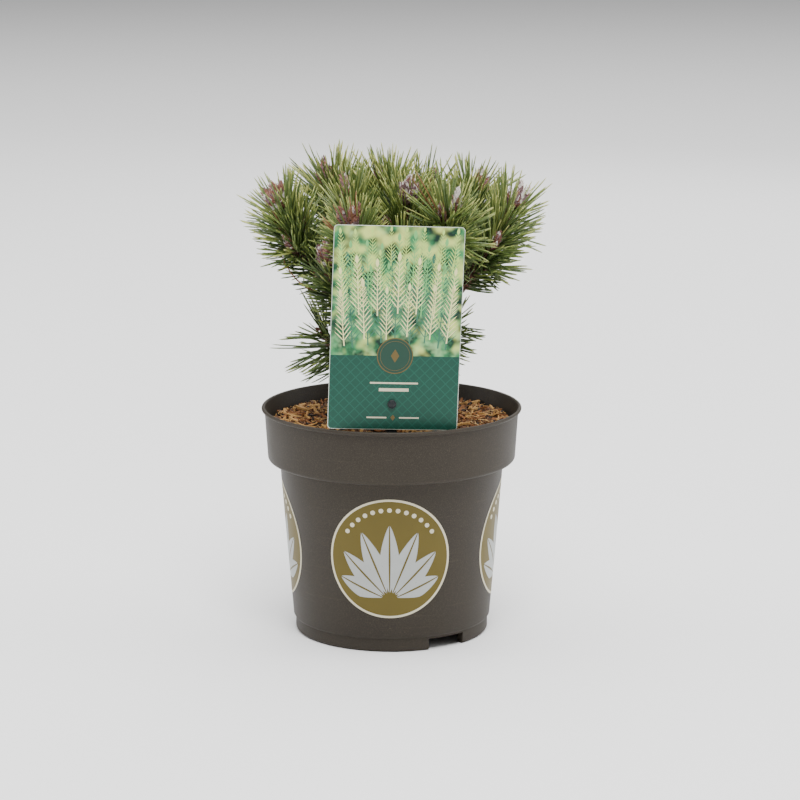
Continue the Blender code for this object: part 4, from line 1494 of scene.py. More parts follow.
    def stake(self) -> Obj:
        """The flat pointed stake with the knob that holds the card."""
        front = self.thickness + self.gap
        half, thick = self.stake_width / 2, self.stake_thickness
        outline = [(0.0, self.stake_point), (half, self.stake_shoulder), (half, self.stake_top),
                   (-half, self.stake_top), (-half, self.stake_shoulder)]
        bm = bmesh.new()
        face = bm.faces.new([bm.verts.new((x, front, z)) for x, z in outline])
        made = bmesh.ops.extrude_face_region(bm, geom=[face])
        moved = [g for g in made["geom"] if isinstance(g, bmesh.types.BMVert)]
        bmesh.ops.translate(bm, verts=moved, vec=(0.0, thick, 0.0))
        bmesh.ops.bevel(outwards(bm), geom=list(bm.edges), offset=self.stake_bevel, segments=2,
                        affect="EDGES")
        neck = thick / 2 + 2 * self.gap + self.thickness
        edge, rise = self.knob_edge, self.knob_height / 2
        dome = [(self.knob_radius * cos(a), neck + rise + rise * sin(a))
                for a in [pi / 2 * i / 8 for i in range(9)]]
        profile = [(0.0, 0.0), (self.knob_neck, 0.0), (self.knob_neck, neck),
                   (self.knob_radius - edge, neck), (self.knob_radius, neck + edge),
                   *dome[:-1], (0.0, neck + self.knob_height)]
        knob = turned(profile, self.knob_segments)
        root = Matrix.Translation((0.0, front + thick / 2, self.hole[2]))
        knob.transform(root @ Matrix.Rotation(pi / 2, 4, "X"))
        mesh = mesh_of("knob", knob)
        bm.from_mesh(mesh)
        bpy.data.meshes.remove(mesh)
        stand = Matrix.Translation((self.hole[0], self.hole[1], 0.0))
        bm.transform(stand @ Matrix.Rotation(radians(self.turn), 4, "Z"))
        return piece_of("label_stake_bar", bm, [Surface.STAKE], 35)

    def build(self, tree: CopyTree) -> None:
        """Build the card, its print, its picture and its stake."""
        settle(self.card(), ["label_card"])
        settle(self.print_on())
        self.picture(tree)
        settle(self.stake(), ["label_stake"])


# Limbs and shoots


@dataclass(frozen=True)
class Limb:
    """Where a limb starts on the trunk, where it heads and where its leading bud ends."""

    foot: float
    azimuth: float
    reach: float
    crown: float
    shoots: int


@dataclass
class Shoot:
    """A shoot of one mass, with its radius and the length of the bud that ends it."""

    mass: str
    path: list[Vector]
    radius: float
    bud: float
    leading: bool = False

    @property
    def low_down(self) -> bool:
        """Whether it's one of the sparse tufts under the crown."""
        return "sprig" in self.mass

    def length(self) -> float:
        """Length along the shoot."""
        return sum((b - a).length for a, b in zip(self.path, self.path[1:]))

    def at(self, share: float) -> tuple[Vector, Vector]:
        """The point and the direction at a share of the way."""
        index = min(max(share, 0.0), 0.9999) * (len(self.path) - 1)
        low = int(index)
        along = (self.path[low + 1] - self.path[low]).normalized()
        return self.path[low].lerp(self.path[low + 1], index - low), along


@dataclass
class Skeleton:
    """The plant's rule of growth: trunk, boughs, leading shoots, side shoots and twigs."""

    seed: int = 3
    twig_seed: int = 400
    trunk_foot: Vector = Vector((0.004, 0.008, 0.0)).freeze()
    trunk_tip: Vector = Vector((0.008, 0.0, 0.262)).freeze()
    trunk_bow: Vector = Vector((-0.004, 0.002, 0.0)).freeze()
    leader_tip: Vector = Vector((0.012, -0.010, 0.330)).freeze()
    trunk_cut: float = 0.1598
    trunk_radius: float = 0.0088
    trunk_tip_radius: float = 0.0034
    root_flare: float = 0.0062
    flare_height: float = 0.010
    flare_fall: float = 1.6
    root_lobes: int = 5
    gap: float = 0.0003
    sweep_power: float = 1.3
    sway: float = 0.005
    bough_share: float = 0.44
    bough_radius: float = 0.0033
    bough_radius_per_reach: float = 0.011
    bough_taper: float = 0.76
    leader_steps: int = 7
    leader_sides: int = 2
    shoot_radius: float = 0.0029
    side_radius: float = 0.0022
    side_length: float = 0.030
    side_steps: int = 4
    side_spread: float = 44.0
    side_turn: float = 72.0
    side_turn_jitter: float = 0.2
    side_lift: float = 0.45
    side_start: float = 0.32
    side_step: float = 0.20
    side_looseness: float = 0.08
    side_clear: float = 0.014
    side_tries: int = 9
    bud: float = 0.0205
    side_bud: float = 0.014
    twigs: int = 5
    twigs_from: float = 0.33
    twig_start: float = 0.05
    twig_step: float = 0.125
    twig_length: Pair = (0.015, 0.024)
    twig_spread: Pair = (46.0, 62.0)
    twig_radius: float = 0.0015
    twig_bud: Pair = (0.006, 0.009)
    twig_clear: float = 0.0075
    twig_tries: int = 5
    boughs: dict[str, Limb] = field(default_factory=lambda: {
        "left": Limb(0.190, 185, 0.087, 0.325, 2),
        "right": Limb(0.194, -5, 0.090, 0.325, 2),
        "back": Limb(0.188, 99, 0.083, 0.318, 2),
        "front": Limb(0.182, -86, 0.066, 0.300, 2),
        "back_left": Limb(0.203, 134, 0.069, 0.335, 2),
        "front_left": Limb(0.209, 245, 0.070, 0.315, 2),
        "front_right": Limb(0.202, -48, 0.063, 0.325, 2),
        "back_right": Limb(0.206, 31, 0.073, 0.329, 2),
        "low_left": Limb(0.176, 220, 0.064, 0.288, 1),
        "far_back": Limb(0.222, 66, 0.070, 0.326, 1),
        "inner_back": Limb(0.240, 108, 0.034, 0.335, 1),
        "inner_left": Limb(0.224, 186, 0.037, 0.331, 1),
    })
    sprigs: dict[str, Limb] = field(default_factory=lambda: {
        "sprig_left": Limb(0.169, 188, 0.064, 0.236, 0),
        "sprig_right": Limb(0.175, 2, 0.052, 0.245, 0),
        "sprig_back": Limb(0.171, 84, 0.054, 0.240, 0),
    })

    def trunk_share(self, height: float) -> float:
        """The share of the way up the trunk."""
        return (height - self.trunk_cut) / (self.trunk_tip.z - self.trunk_cut)

    def trunk_point(self, height: float) -> Vector:
        """Middle of the trunk at a height."""
        share = self.trunk_share(height)
        point = self.trunk_foot.lerp(self.trunk_tip, share)
        point += self.trunk_bow * sin(pi * share)
        return Vector((point.x, point.y, height))

    def trunk_radius_at(self, height: float) -> float:
        """Radius of the trunk at a height, without its flare."""
        taper = self.trunk_tip_radius - self.trunk_radius
        return self.trunk_radius + taper * self.trunk_share(height)

    def from_trunk(self, point: Vector) -> Vector:
        """The way to a point from the middle of the trunk."""
        return point - self.trunk_point(min(point.z, self.trunk_tip.z))

    def limb_point(self, limb: Limb, share: float) -> Vector:
        """A point on a bough, or on the leading shoot that goes on from it."""
        angle = radians(limb.azimuth)
        out = Vector((cos(angle), sin(angle), 0.0))
        side = Vector((-out.y, out.x, 0.0))
        reach = limb.reach * (1 - (1 - share) ** self.sweep_power)
        rise = UP * (limb.crown - limb.foot) * share
        sway = self.sway * sin(tau * share + limb.azimuth) * share
        return self.trunk_point(limb.foot) + out * reach + side * sway + rise

    def limb_path(self, limb: Limb, start: float, end: float, steps: int) -> list[Vector]:
        """Points along a bough between two shares of the way."""
        return [self.limb_point(limb, start + (end - start) * i / steps) for i in range(steps + 1)]

    def bough_foot_radius(self, limb: Limb) -> float:
        """Radius of a bough at its foot."""
        return self.bough_radius + self.bough_radius_per_reach * limb.reach

    def leaders(self) -> dict[str, list[Vector]]:
        """The leading shoot of each mass."""
        paths = {name: self.limb_path(limb, self.bough_share, 1.0, self.leader_steps)
                 for name, limb in self.boughs.items()}
        start = self.trunk_tip + UP * self.gap
        rise = (self.leader_tip - start) / self.leader_steps
        paths["leader"] = [start + rise * i for i in range(self.leader_steps + 1)]
        for name, limb in self.sprigs.items():
            paths[name] = self.limb_path(limb, 0.0, 1.0, self.leader_steps)
        return paths

    def side_shoot(
        self, leader: Path, share: float, phase: float, length: float, spread_by: float
    ) -> list[Vector]:
        """A side shoot that leaves its leader and turns up at its end.

        Args:
            leader: The path that it leaves.
            share: Where on the path it leaves.
            phase: Its angle round the path, from the side away from the trunk.
            length: Its length.
            spread_by: Its angle from the path, in degrees.

        Returns:
            Its path.
        """
        index = share * (len(leader) - 1)
        low = int(index)
        root = leader[low].lerp(leader[low + 1], index - low)
        along = (leader[low + 1] - leader[low]).normalized()
        away = self.from_trunk(root)
        normal = (away - along * away.dot(along)).normalized()
        normal.rotate(Matrix.Rotation(phase, 3, along))
        angle = radians(spread_by)
        start = along * cos(angle) + normal * sin(angle)
        points = [root]
        for i in range(1, self.side_steps + 1):
            heading = start.lerp(UP, self.side_lift * i / self.side_steps).normalized()
            points.append(points[-1] + heading * length / self.side_steps)
        return points

    def main_shoots(self) -> list[Shoot]:
        """Leading and side shoots at the places that the solids have them."""
        leaders = self.leaders()
        counts = {name: limb.shoots for name, limb in self.boughs.items()}
        counts["leader"] = self.leader_sides
        taken = {name: spread(path) for name, path in leaders.items()}
        found = {name: [path] for name, path in leaders.items()}
        for order, (name, path) in enumerate(leaders.items()):
            rng = Random(self.seed + order)
            others = tree_of([p for other, pts in taken.items() if other != name for p in pts])
            for i in range(counts.get(name, 0)):
                phase = radians(self.side_turn) * (-1) ** (i + order)
                phase += rng.uniform(-self.side_turn_jitter, self.side_turn_jitter)
                for _ in range(self.side_tries):
                    share = self.side_start + self.side_step * i
                    share += rng.uniform(0.0, self.side_looseness)
                    branch = self.side_shoot(path, share, phase, self.side_length,
                                             self.side_spread)
                    phase += GOLDEN_ANGLE
                    clear = min(others.find(p)[2] for p in spread(branch))
                    own = min((branch[-1] - p).length for p in spread(found[name][-1]))
                    if clear > self.side_clear and own > self.side_clear:
                        found[name].append(branch)
                        taken[name] += spread(branch)
                        break
        shoots = []
        for name, paths in found.items():
            shoots.append(Shoot(name, paths[0], self.shoot_radius, self.bud, True))
            shoots += [Shoot(name, p, self.side_radius, self.side_bud) for p in paths[1:]]
        return shoots

    def finer_twigs(self, shoots: Sequence[Shoot]) -> list[Shoot]:
        """Short twigs along the leading shoots and boughs, where there is room."""
        skin = [p for shoot in shoots for p in spread(shoot.path)]
        added = []
        for order, shoot in enumerate(s for s in shoots if s.leading and not s.low_down):
            rng = Random(self.twig_seed + order)
            path = shoot.path
            if shoot.mass in self.boughs:
                path = self.limb_path(self.boughs[shoot.mass], self.twigs_from, 1.0, 12)
            phase = rng.uniform(0.0, tau)
            for i in range(self.twigs):
                share = self.twig_start + self.twig_step * i + rng.uniform(0.0, 0.05)
                tree = tree_of(skin)
                for _ in range(self.twig_tries):
                    length = rng.uniform(*self.twig_length)
                    twig = self.side_shoot(path, share, phase, length,
                                           rng.uniform(*self.twig_spread))
                    phase += GOLDEN_ANGLE
                    if min(tree.find(p)[2] for p in twig[2:]) > self.twig_clear:
                        bud = rng.uniform(*self.twig_bud)
                        added.append(Shoot(shoot.mass, twig, self.twig_radius, bud))
                        skin += spread(twig)
                        break
        return added


@dataclass
class Limbs:
    """The trunk and the boughs with the relief of their bark, and the shoots' bare stems."""

    skeleton: Skeleton
    trunk_sides: int = 72
    bough_sides: int = 30
    stem_sides: int = 12
    step: float = 0.0008
    stem_step: float = 0.0014
    sunk: float = 0.0002
    trunk_bark: Pair = (0.0009, 330.0)
    bough_bark: Pair = (0.00063, 480.0)
    stem_bark: Pair = (0.00045, 720.0)
    lobe_share: float = 0.75
    lobe_height: float = 0.92
    bough_from: float = 0.03
    bough_past: float = 0.02
    collar: float = 0.35
    collar_fall: float = 9.0
    stem_past: float = 0.8
    stem_taper: float = 0.22

    @staticmethod
    def bark(depth: float, scale: float, point: Vector, angle: float) -> float:
        """How far a skin of bark stands out at a point.

        Args:
            depth: Height of the plates over the cracks.
            scale: Plates in a metre.
            point: The point on the skin.
            angle: Its angle round the limb, which bark doesn't follow; it is not used.

        Returns:
            The height.
        """
        spot = Vector((point.x, point.y, point.z * 0.5)) * scale
        near, far = noise.voronoi(spot)[0][:2]
        crack = min(1.0, (far - near) * 3.2)
        rough = 0.3 * noise.noise(point * scale * 3.0)
        return depth * (crack ** 0.7 - 0.62 + rough)

    def trunk_skin(self, point: Vector, angle: float) -> float:
        """Root lobes near the trunk's foot, and bark."""
        plant = self.skeleton
        over = max(0.0, point.z - plant.trunk_cut)
        flare = plant.root_flare * exp(-over * plant.flare_fall / plant.flare_height)
        lobe = 0.5 + 0.5 * cos(plant.root_lobes * angle)
        out = flare * (1 - self.lobe_share + self.lobe_share * lobe) * self.lobe_height
        return out + self.bark(*self.trunk_bark, point, angle)

    def trunk(self) -> Obj:
        """The trunk from its flared foot to its tip."""
        plant = self.skeleton
        tall = plant.trunk_tip.z - plant.trunk_cut
        count = int(tall / self.step)
        heights = [plant.trunk_cut + tall * i / count for i in range(count + 1)]
        bm = bmesh.new()
        sweep(bm, [plant.trunk_point(z) for z in heights],
              [plant.trunk_radius_at(z) - self.sunk for z in heights], self.trunk_sides,
              self.trunk_skin)
        outwards(bm)
        for vert in bm.verts:
            vert.co.z = max(vert.co.z, plant.trunk_cut)
        return piece_of("trunk_bark", bm, [Surface.BARK])

    def boughs(self) -> Obj:
        """All boughs, each from inside the trunk's bark to where its shoot goes on."""
        plant = self.skeleton
        bm = bmesh.new()
        for limb in plant.boughs.values():
            end = plant.bough_share + self.bough_past
            path = resample(plant.limb_path(limb, self.bough_from, end, 10), self.step)
            foot = plant.bough_foot_radius(limb)
            radii = []
            for i in range(len(path)):
                share = i / (len(path) - 1)
                collar = 1 + self.collar * exp(-share * self.collar_fall)
                radii.append((foot * (1 + (plant.bough_taper - 1) * share)) * collar)
            sweep(bm, path, radii, self.bough_sides, partial(self.bark, *self.bough_bark))
        return piece_of("boughs_bark", outwards(bm), [Surface.BARK])

    def stems(self, shoots: Sequence[Shoot]) -> Obj:
        """The shoots' stems up to their buds, ridged by old needle seats."""
        bm = bmesh.new()
        for shoot in shoots:
            path = resample(shoot.path, self.stem_step)
            bare = 1 - shoot.bud * self.stem_past / shoot.length()
            keep = max(3, int(len(path) * bare))
            radii = [shoot.radius * (1 - self.stem_taper * i / keep) for i in range(keep)]
            skin = partial(self.bark, *self.stem_bark)
            sweep(bm, path[:keep], radii, self.stem_sides, skin)
        return piece_of("shoot_stems", outwards(bm), [Surface.YOUNG_BARK])

    def build(self, shoots: Sequence[Shoot]) -> None:
        """Build trunk, boughs and stems."""
        settle(self.trunk(), ["trunk"])
        settle(self.boughs(), ["bough_" + name for name in self.skeleton.boughs])
        settle(self.stems(shoots))


# Needles, scales and buds


class Tone(Enum):
    """The plain colours that are dealt out to the pairs of needles, each with its tips'."""

    # Dark to light: painted shade low in the crown, painted light high up, with a chance spread.
    BRIGHT = (Finish("needle_bright", "a2aa60", 0.36), Finish("tip_bright", "c8c67c", 0.36))
    FRESH = (Finish("needle_fresh", "808d4a", 0.36), Finish("tip_fresh", "adb164", 0.36))
    MIDDLE = (Finish("needle_middle", "62753c", 0.38), Finish("tip_middle", "8b974f", 0.38))
    DEEP = (Finish("needle_deep", "4b5f31", 0.40), Finish("tip_deep", "69783f", 0.40))
    SHADE = (Finish("needle_shade", "384a26", 0.42), Finish("tip_shade", "4a5930", 0.42))
    DRY = (Finish("needle_dry", "7a5230", 0.60), Finish("tip_dry", "8d6a44", 0.60))


@dataclass
class Room:
    """Keeps needles to their mass's room, away from limbs, label and pot."""

    shoots: Sequence[Shoot]
    skeleton: Skeleton
    label_y: float = -0.0735
    label_half: float = 0.053
    label_top: float = 0.320
    lowest: float = 0.184
    limb_clear: float = 0.0012
    overlap: float = 0.006
    past_box: float = 0.0035

    def __post_init__(self) -> None:
        """Prepare the search trees."""
        masses = sorted({s.mass for s in self.shoots})
        skins = {m: [p for s in self.shoots if s.mass == m for p in spread(s.path)]
                 for m in masses}
        self.own = {m: tree_of(skins[m]) for m in masses}
        self.rest = {m: tree_of([p for o in masses if o != m for p in skins[o]]) for m in masses}
        plant = self.skeleton
        points, self.radii = [], []
        for limb in plant.boughs.values():
            skin = spread(plant.limb_path(limb, 0.0, plant.bough_share, 6), 0.0015)
            points += skin
            self.radii += [plant.bough_foot_radius(limb)] * len(skin)
        low, high = plant.trunk_cut, plant.trunk_tip.z
        skin = [plant.trunk_point(low + (high - low) * i / 60) for i in range(61)]
        points += skin
        self.radii += [plant.trunk_radius_at(p.z) for p in skin]
        self.limbs = tree_of(points)
        self.low = [a - self.past_box for a in CAD_BOX[0]]
        self.high = [a + self.past_box for a in CAD_BOX[1]]

    def holds(self, mass: str, point: Vector) -> bool:
        """Whether a needle of a mass may pass through a point."""
        if any(not a < b < c for a, b, c in zip(self.low, point, self.high)):
            return False
        own = self.own[mass].find(point)[2]
        if own > self.rest[mass].find(point)[2] + self.overlap:
            return False
        _, index, distance = self.limbs.find(point)
        if distance < self.radii[index] + self.limb_clear:
            return False
        by_label = point.y < self.label_y and abs(point.x) < self.label_half
        return point.z > self.lowest and not (by_label and point.z < self.label_top)


@dataclass
class Needles:
    """Pairs of needles in papery sheaths, set round every shoot by the golden angle."""

    seed: int = 77
    shoot_seed: int = 900
    length: float = 0.031
    tip_length: float = 0.0435
    low_lengths: dict[str, float] = field(default_factory=lambda: {
        "sprig_left": 0.043, "sprig_right": 0.026, "sprig_back": 0.034})
    length_spread: Pair = (0.82, 1.10)
    shorter: Triple = (1.0, 0.85, 0.7)
    width: float = 0.00138
    width_spread: Pair = (0.85, 1.1)
    pairs_per_metre: float = 2500.0
    low_pairs_per_metre: float = 1900.0
    crowding: float = 0.80
    start: float = 0.03
    low_start: float = 0.18
    bud_share: float = 0.92
    turn_jitter: float = 0.3
    roll: float = 0.8
    seat: float = 0.75
    root_spread: float = 78.0
    tip_spread: float = 37.0
    outer_spread: float = 22.0
    looseness: float = 14.0
    lift: Pair = (0.0, 0.14)
    tip_lift: float = 0.14
    low_droop: Pair = (-0.66, 0.22)
    thin_from: float = 0.78
    thinned: float = 0.24
    outer_thinned: float = 0.50
    short_below: float = 0.315
    short_over: float = 0.045
    short_by: float = 0.32
    sheath_length: float = 0.0034
    sheath_width: float = 1.5
    kinds: int = 8
    rows: tuple[float, ...] = (0.0, 0.10, 0.45, 0.83, 0.94, 1.0)
    tip_row: int = 3
    corners: tuple[Pair, ...] = ((-0.25, -0.5), (-0.25, 0.5), (0.42, 0.0))
    part: Pair = (3.5, 8.5)
    bend: Pair = (0.02, 0.13)
    dry_share: float = 0.006
    # Painted shade and light by height: needles low in the crown get darker tones.
    painted_shade_from: float = 0.21
    painted_shade_over: float = 0.13
    least_painted_light: float = 0.34
    edges: tuple[tuple[float, Tone], ...] = (
        (0.20, Tone.SHADE),
        (0.42, Tone.DEEP),
        (0.66, Tone.MIDDLE),
        (0.91, Tone.FRESH),
    )

    def pair(self, rng: Random) -> Bm:
        """Two half round needles, one unit long, that part and bend a little."""
        bm = bmesh.new()
        tip = bm.faces.layers.bool.new("tip")
        part = tan(radians(rng.uniform(*self.part)))
        bend = rng.uniform(*self.bend)
        for side in (-1, 1):
            twist = rng.uniform(-0.25, 0.25)
            reach = 1.0 if side < 0 else rng.uniform(0.93, 1.0)
            rings = []
            for share in self.rows:
                t = share * reach
                middle = Vector((side * (0.5 + part * t / self.width * self.length),
                                 bend * t * t * 24, t))
                girth = min(1.0, 0.7 + share * 3) * (1 - max(0.0, share - 0.75) ** 1.5 * 5.0)
                spin = Matrix.Rotation(twist * share * 2, 3, "Z")
                offsets = [spin @ Vector((side * x * girth, y * girth, 0.0))
                           for x, y in self.corners]
                if share == 1.0:
                    offsets = [Vector()]
                rings.append([bm.verts.new(middle + offset) for offset in offsets])
            for row, (low, high) in enumerate(zip(rings, rings[1:])):
                for face in bridge(bm, low, high):
                    face[tip] = row >= self.tip_row
            bm.faces.new(rings[0])
        return bm

    @staticmethod
    def sheath() -> Bm:
        """The papery sheath at the foot of a pair, one unit long."""
        bm = bmesh.new()
        sweep(bm, [UP * -0.3, UP * 0.35, UP * 1.0], [0.55, 0.62, 0.5], 5)
        return bm

    def tone(self, point: Vector, share: float, rng: Random) -> Tone:
        """Deal a tone by chance: painted light high up and at shoot ends, painted shade low down.
        """
        # Painted shade low in the crown, painted light high up and towards the shoots' ends.
        height = (point.z - self.painted_shade_from) / self.painted_shade_over
        height = min(1.0, max(self.least_painted_light, height))
        light = 0.52 * height + 0.26 * share + rng.gauss(0.04, 0.16)
        if rng.random() < self.dry_share:
            return Tone.DRY
        return next((tone for edge, tone in self.edges if light < edge), Tone.BRIGHT)

    def full_length(self, shoot: Shoot, up_shoot: float, height: float) -> float:
        """Length of a needle at a share of its shoot: longest near the tip and high up."""
        full = self.length + (self.tip_length - self.length) * up_shoot
        low = (self.short_below - height) / self.short_over
        full *= 1 - self.short_by * min(1.0, max(0.0, low))
        return self.low_lengths.get(shoot.mass, full)

    def on_shoot(
        self, shoot: Shoot, room: Room, rng: Random
    ) -> Iterator[tuple[Tone, Copy, Copy]]:
        """The pairs of one shoot, each kept only where there is room.

        Args:
            shoot: The shoot that carries them.
            room: What they keep clear of.
            rng: The source of chance.

        Yields:
            The tone, the pair and its sheath.
        """
        low_down, total = shoot.low_down, shoot.length()
        start = self.low_start if low_down else self.start
        end = 1 - shoot.bud * self.bud_share / total
        density = self.low_pairs_per_metre if low_down else self.pairs_per_metre
        count = int(total * (end - start) * density)
        phase = rng.uniform(0.0, tau)
        for i in range(count):
            up_shoot = ((i + rng.random()) / count) ** self.crowding
            middle, along = shoot.at(start + (end - start) * up_shoot)
            phase += GOLDEN_ANGLE
            out = sideways(along, phase + rng.uniform(-self.turn_jitter, self.turn_jitter))
            away = room.skeleton.from_trunk(middle)
            facing = max(0.0, out.dot(Vector((away.x, away.y, 0.0)).normalized()))
            thinned = self.thinned + self.outer_thinned * facing
            if up_shoot > self.thin_from and rng.random() < thinned:
                continue
            lean = self.root_spread + (self.tip_spread - self.root_spread) * up_shoot
            lean += self.outer_spread * up_shoot ** 2 * facing
            loose = self.looseness * (1 - 0.5 * up_shoot)
            lean = radians(lean + rng.uniform(-loose, loose))
            heading = along * cos(lean) + out * sin(lean)
            rise = rng.uniform(*(self.low_droop if low_down else self.lift))
            rise += 0.0 if low_down else self.tip_lift * up_shoot
            heading = (heading + UP * rise).normalized()
            full = self.full_length(shoot, up_shoot, middle.z) * rng.uniform(*self.length_spread)
            root = middle + out * shoot.radius * self.seat
            for shorter in self.shorter:
                tests = [root + heading * full * shorter * s for s in (0.35, 0.7, 1.0)]
                if all(room.holds(shoot.mass, p) for p in tests):
                    break
            else:
                continue
            turn = turn_to(heading, along, rng.uniform(-self.roll, self.roll))
            wide = self.width * rng.uniform(*self.width_spread)
            pair = Copy(root, turn, Vector((wide, wide, full * shorter)),
                        rng.randrange(self.kinds))
            foot = wide * self.sheath_width
            sheath = Copy(root, turn, Vector((foot, foot, self.sheath_length)))
            yield self.tone(root, up_shoot, rng), pair, sheath

    def build(self, shoots: Sequence[Shoot], room: Room, tree: CopyTree) -> None:
        """Set all pairs and sheaths, in pieces by tone."""
        rng = Random(self.seed)
        pairs = Shapes("pair", [self.pair(rng) for _ in range(self.kinds)])
        sheaths = Shapes("sheath", [self.sheath()])
        dealt: dict[Tone, list[Copy]] = {tone: [] for tone in Tone}
        feet: list[Copy] = []
        for order, shoot in enumerate(shoots):
            rng = Random(self.shoot_seed + order)
            for tone, pair, foot in self.on_shoot(shoot, room, rng):
                dealt[tone].append(pair)
                feet.append(foot)
        nodes = sorted({"needles_" + s.mass for s in shoots})
        for tone, copies in dealt.items():
            whole, tip = tone.value
            piece = tree.run(whole.name, copies, pairs, whole, tip)
            settle(piece, nodes if tone is Tone.MIDDLE else ())
        finish = Finish("needle_sheath", "5a4534", 0.75)
        settle(tree.run("needle_sheaths", feet, sheaths, finish))
        LOG.info("%d pairs of needles", len(feet))
        pairs.clear()
        sheaths.clear()


@dataclass(frozen=True)
class Cluster:
    """The buds that end a shoot: side buds, their shape, and the shares of plum and resin."""

    count: int = 2
    slim: float = 1.0
    side_size: float = 0.75
    plum: float = 0.45
    resin: float = 0.15


@dataclass
class Buds:
    """Winter buds under overlapping scales, some tipped with white resin."""

    seed: int = 55
    stem_seed: int = 66
    radius_share: float = 0.20
    core_share: float = 0.86
    steps: int = 8
    sunk: float = 0.66
    side_lean: Pair = (0.20, 0.38)
    side_offset: float = 0.0022
    side_spread: Pair = (0.8, 1.1)
    least_scales: int = 22
    scales_per_metre: float = 2400.0
    scale_share: float = 0.20
    scale_spread: Pair = (0.8, 1.15)
    scale_lifts: Triple = (0.08, 0.22, 0.42)
    stem_scales_per_metre: float = 900.0
    stem_scale_size: Pair = (0.0022, 0.0042)
    clusters: dict[str, Cluster] = field(default_factory=lambda: {
        "left": Cluster(4, 1.0, 0.90, 0.35, 0.20),
        "front_left": Cluster(3, 1.15, 0.92, 0.15, 0.05),
        "leader": Cluster(4, 0.85, 0.90, 0.85, 0.30),
        "right": Cluster(4, 1.0, 0.85, 0.50, 0.50),
        "front_right": Cluster(1, 1.0, 0.60, 0.50, 0.85),
        "inner_back": Cluster(2, 0.80, 0.88, 0.75, 0.15),
        "back": Cluster(3, 0.80, 0.88, 0.75, 0.15),
        "inner_left": Cluster(1, 0.80, 0.70, 0.30, 0.10),
        "back_right": Cluster(2, 1.0, 0.80, 0.20, 0.10),
    })
    looks: dict[str, Finish] = field(default_factory=lambda: {
        "red": Finish("bud_red", "8b5f50", 0.5),
        "plum": Finish("bud_plum", "7c6265", 0.5),
        "resin": Finish("bud_resin", "dad2cc", 0.35, 0.3),
    })

    @staticmethod
    def scale(lift: float) -> Bm:
        """A pointed scale, one unit long, that stands off by a lift at its tip."""
        bm = bmesh.new()
        outline = [(-0.30, 0.0), (0.30, 0.0), (0.36, 0.38), (0.20, 0.74), (0.0, 1.0),
                   (-0.20, 0.74), (-0.36, 0.38)]
        front, back = [[bm.verts.new((x, rise - 0.5 * x * x + lift * y * y, y))
                        for x, y in outline] for rise in (0.10, -0.06)]
        bm.faces.new(front)
        bm.faces.new(list(reversed(back)))
        for k in range(len(outline)):
            n = (k + 1) % len(outline)
            bm.faces.new((front[k], back[k], back[n], front[n]))
        return bm

    @staticmethod
    def girth(share: float) -> float:
        """Width of a bud at a share of its length."""
        return max(0.0, sin(pi * (0.20 + 0.80 * share)) ** 0.75)

    def one(
        self, foot: Vector, along: Vector, length: float, slim: float, rng: Random
    ) -> tuple[list[Vector], list[float], list[tuple[float, Copy]]]:
        """The core and the scales of one bud.

        Args:
            foot: Where it stands.
            along: Its direction.
            length: Its length.
            slim: How slender it is, one for a usual bud.
            rng: The source of chance.

        Returns:
            The core's path, its radii, and each scale with its place along the bud.
        """
        radius = length * self.radius_share * slim
        shares = [i / self.steps for i in range(self.steps + 1)]
        path = [foot + along * length * (share * 0.97 - 0.03) for share in shares]
        radii = [radius * self.girth(share) * self.core_share for share in shares[:-1]] + [0.0]
        scales = []
        count = int(self.least_scales + length * self.scales_per_metre)
        for i in range(count):
            share = (i + rng.random() * 0.5) / count
            place = share * 0.93
            out = sideways(along, i * GOLDEN_ANGLE)
            slope = (self.girth(place + 0.06) - self.girth(place)) * radius / (0.06 * length)
            heading = (along + out * (slope * 0.9 + 0.05)).normalized()
            root = foot + along * length * place
            root += out * radius * self.girth(place) * self.core_share
            tall = length * self.scale_share * rng.uniform(*self.scale_spread)
            tall *= 1.1 - 0.35 * share
            kind = rng.randrange(len(self.scale_lifts))
            size = Vector((tall, tall, tall))
            scales.append((share, Copy(root, turn_to(heading, out), size, kind)))
        return path, radii, scales

    def cluster(
        self, shoot: Shoot, look: Cluster, rng: Random
    ) -> list[tuple[Vector, Vector, float, float]]:
        """The foot, direction, length and slimness of each bud that ends a shoot."""
        tip, along = shoot.path[-1], (shoot.path[-1] - shoot.path[-2]).normalized()
        foot = tip - along * shoot.bud * (self.sunk if shoot.leading else 1.0)
        buds = [(foot, along, shoot.bud, look.slim)]
        choices = (0, 1, 2) if shoot.bud > 0.01 else (0,)
        count = look.count if shoot.leading else rng.choice(choices)
        turn = rng.uniform(0, tau)
        for k in range(count):
            out = sideways(along, turn + tau * k / count)
            lean = (along + out * rng.uniform(*self.side_lean)).normalized()
            size = shoot.bud * look.side_size * rng.uniform(*self.side_spread)
            buds.append((foot + out * self.side_offset, lean, size, look.slim))
        return buds

    def build(self, shoots: Sequence[Shoot], tree: CopyTree) -> None:
        """Build all buds: cores as one piece, scales by colour."""
        shapes = Shapes("scale", [self.scale(lift) for lift in self.scale_lifts], smooth=False)
        core = bmesh.new()
        rng = Random(self.seed)
        groups: dict[str, list[Copy]] = {name: [] for name in self.looks}
        for shoot in shoots:
            if shoot.low_down:
                continue
            usual = Cluster()
            look = self.clusters.get(shoot.mass, usual) if shoot.leading else usual
            for bud in self.cluster(shoot, look, rng):
                path, radii, scales = self.one(*bud, rng)
                sweep(core, path, radii, 10)
                for share, scale in scales:
                    name = "red"
                    if rng.random() < look.resin * (0.4 + 1.2 * share ** 2):
                        name = "resin"
                    elif rng.random() < look.plum:
                        name = "plum"
                    groups[name].append(scale)
        dark = Finish("bud_core", "4a2f29", 0.6)
        settle(piece_of("bud_cores", outwards(core), [dark]))
        for name, copies in groups.items():
            piece = tree.run("bud_scales_" + name, copies, shapes, self.looks[name])
            settle(piece)
        finish = Finish("stem_scale", "5e3a2b", 0.75)
        settle(tree.run("stem_scales", self.on_stems(shoots), shapes, finish))
        shapes.clear()

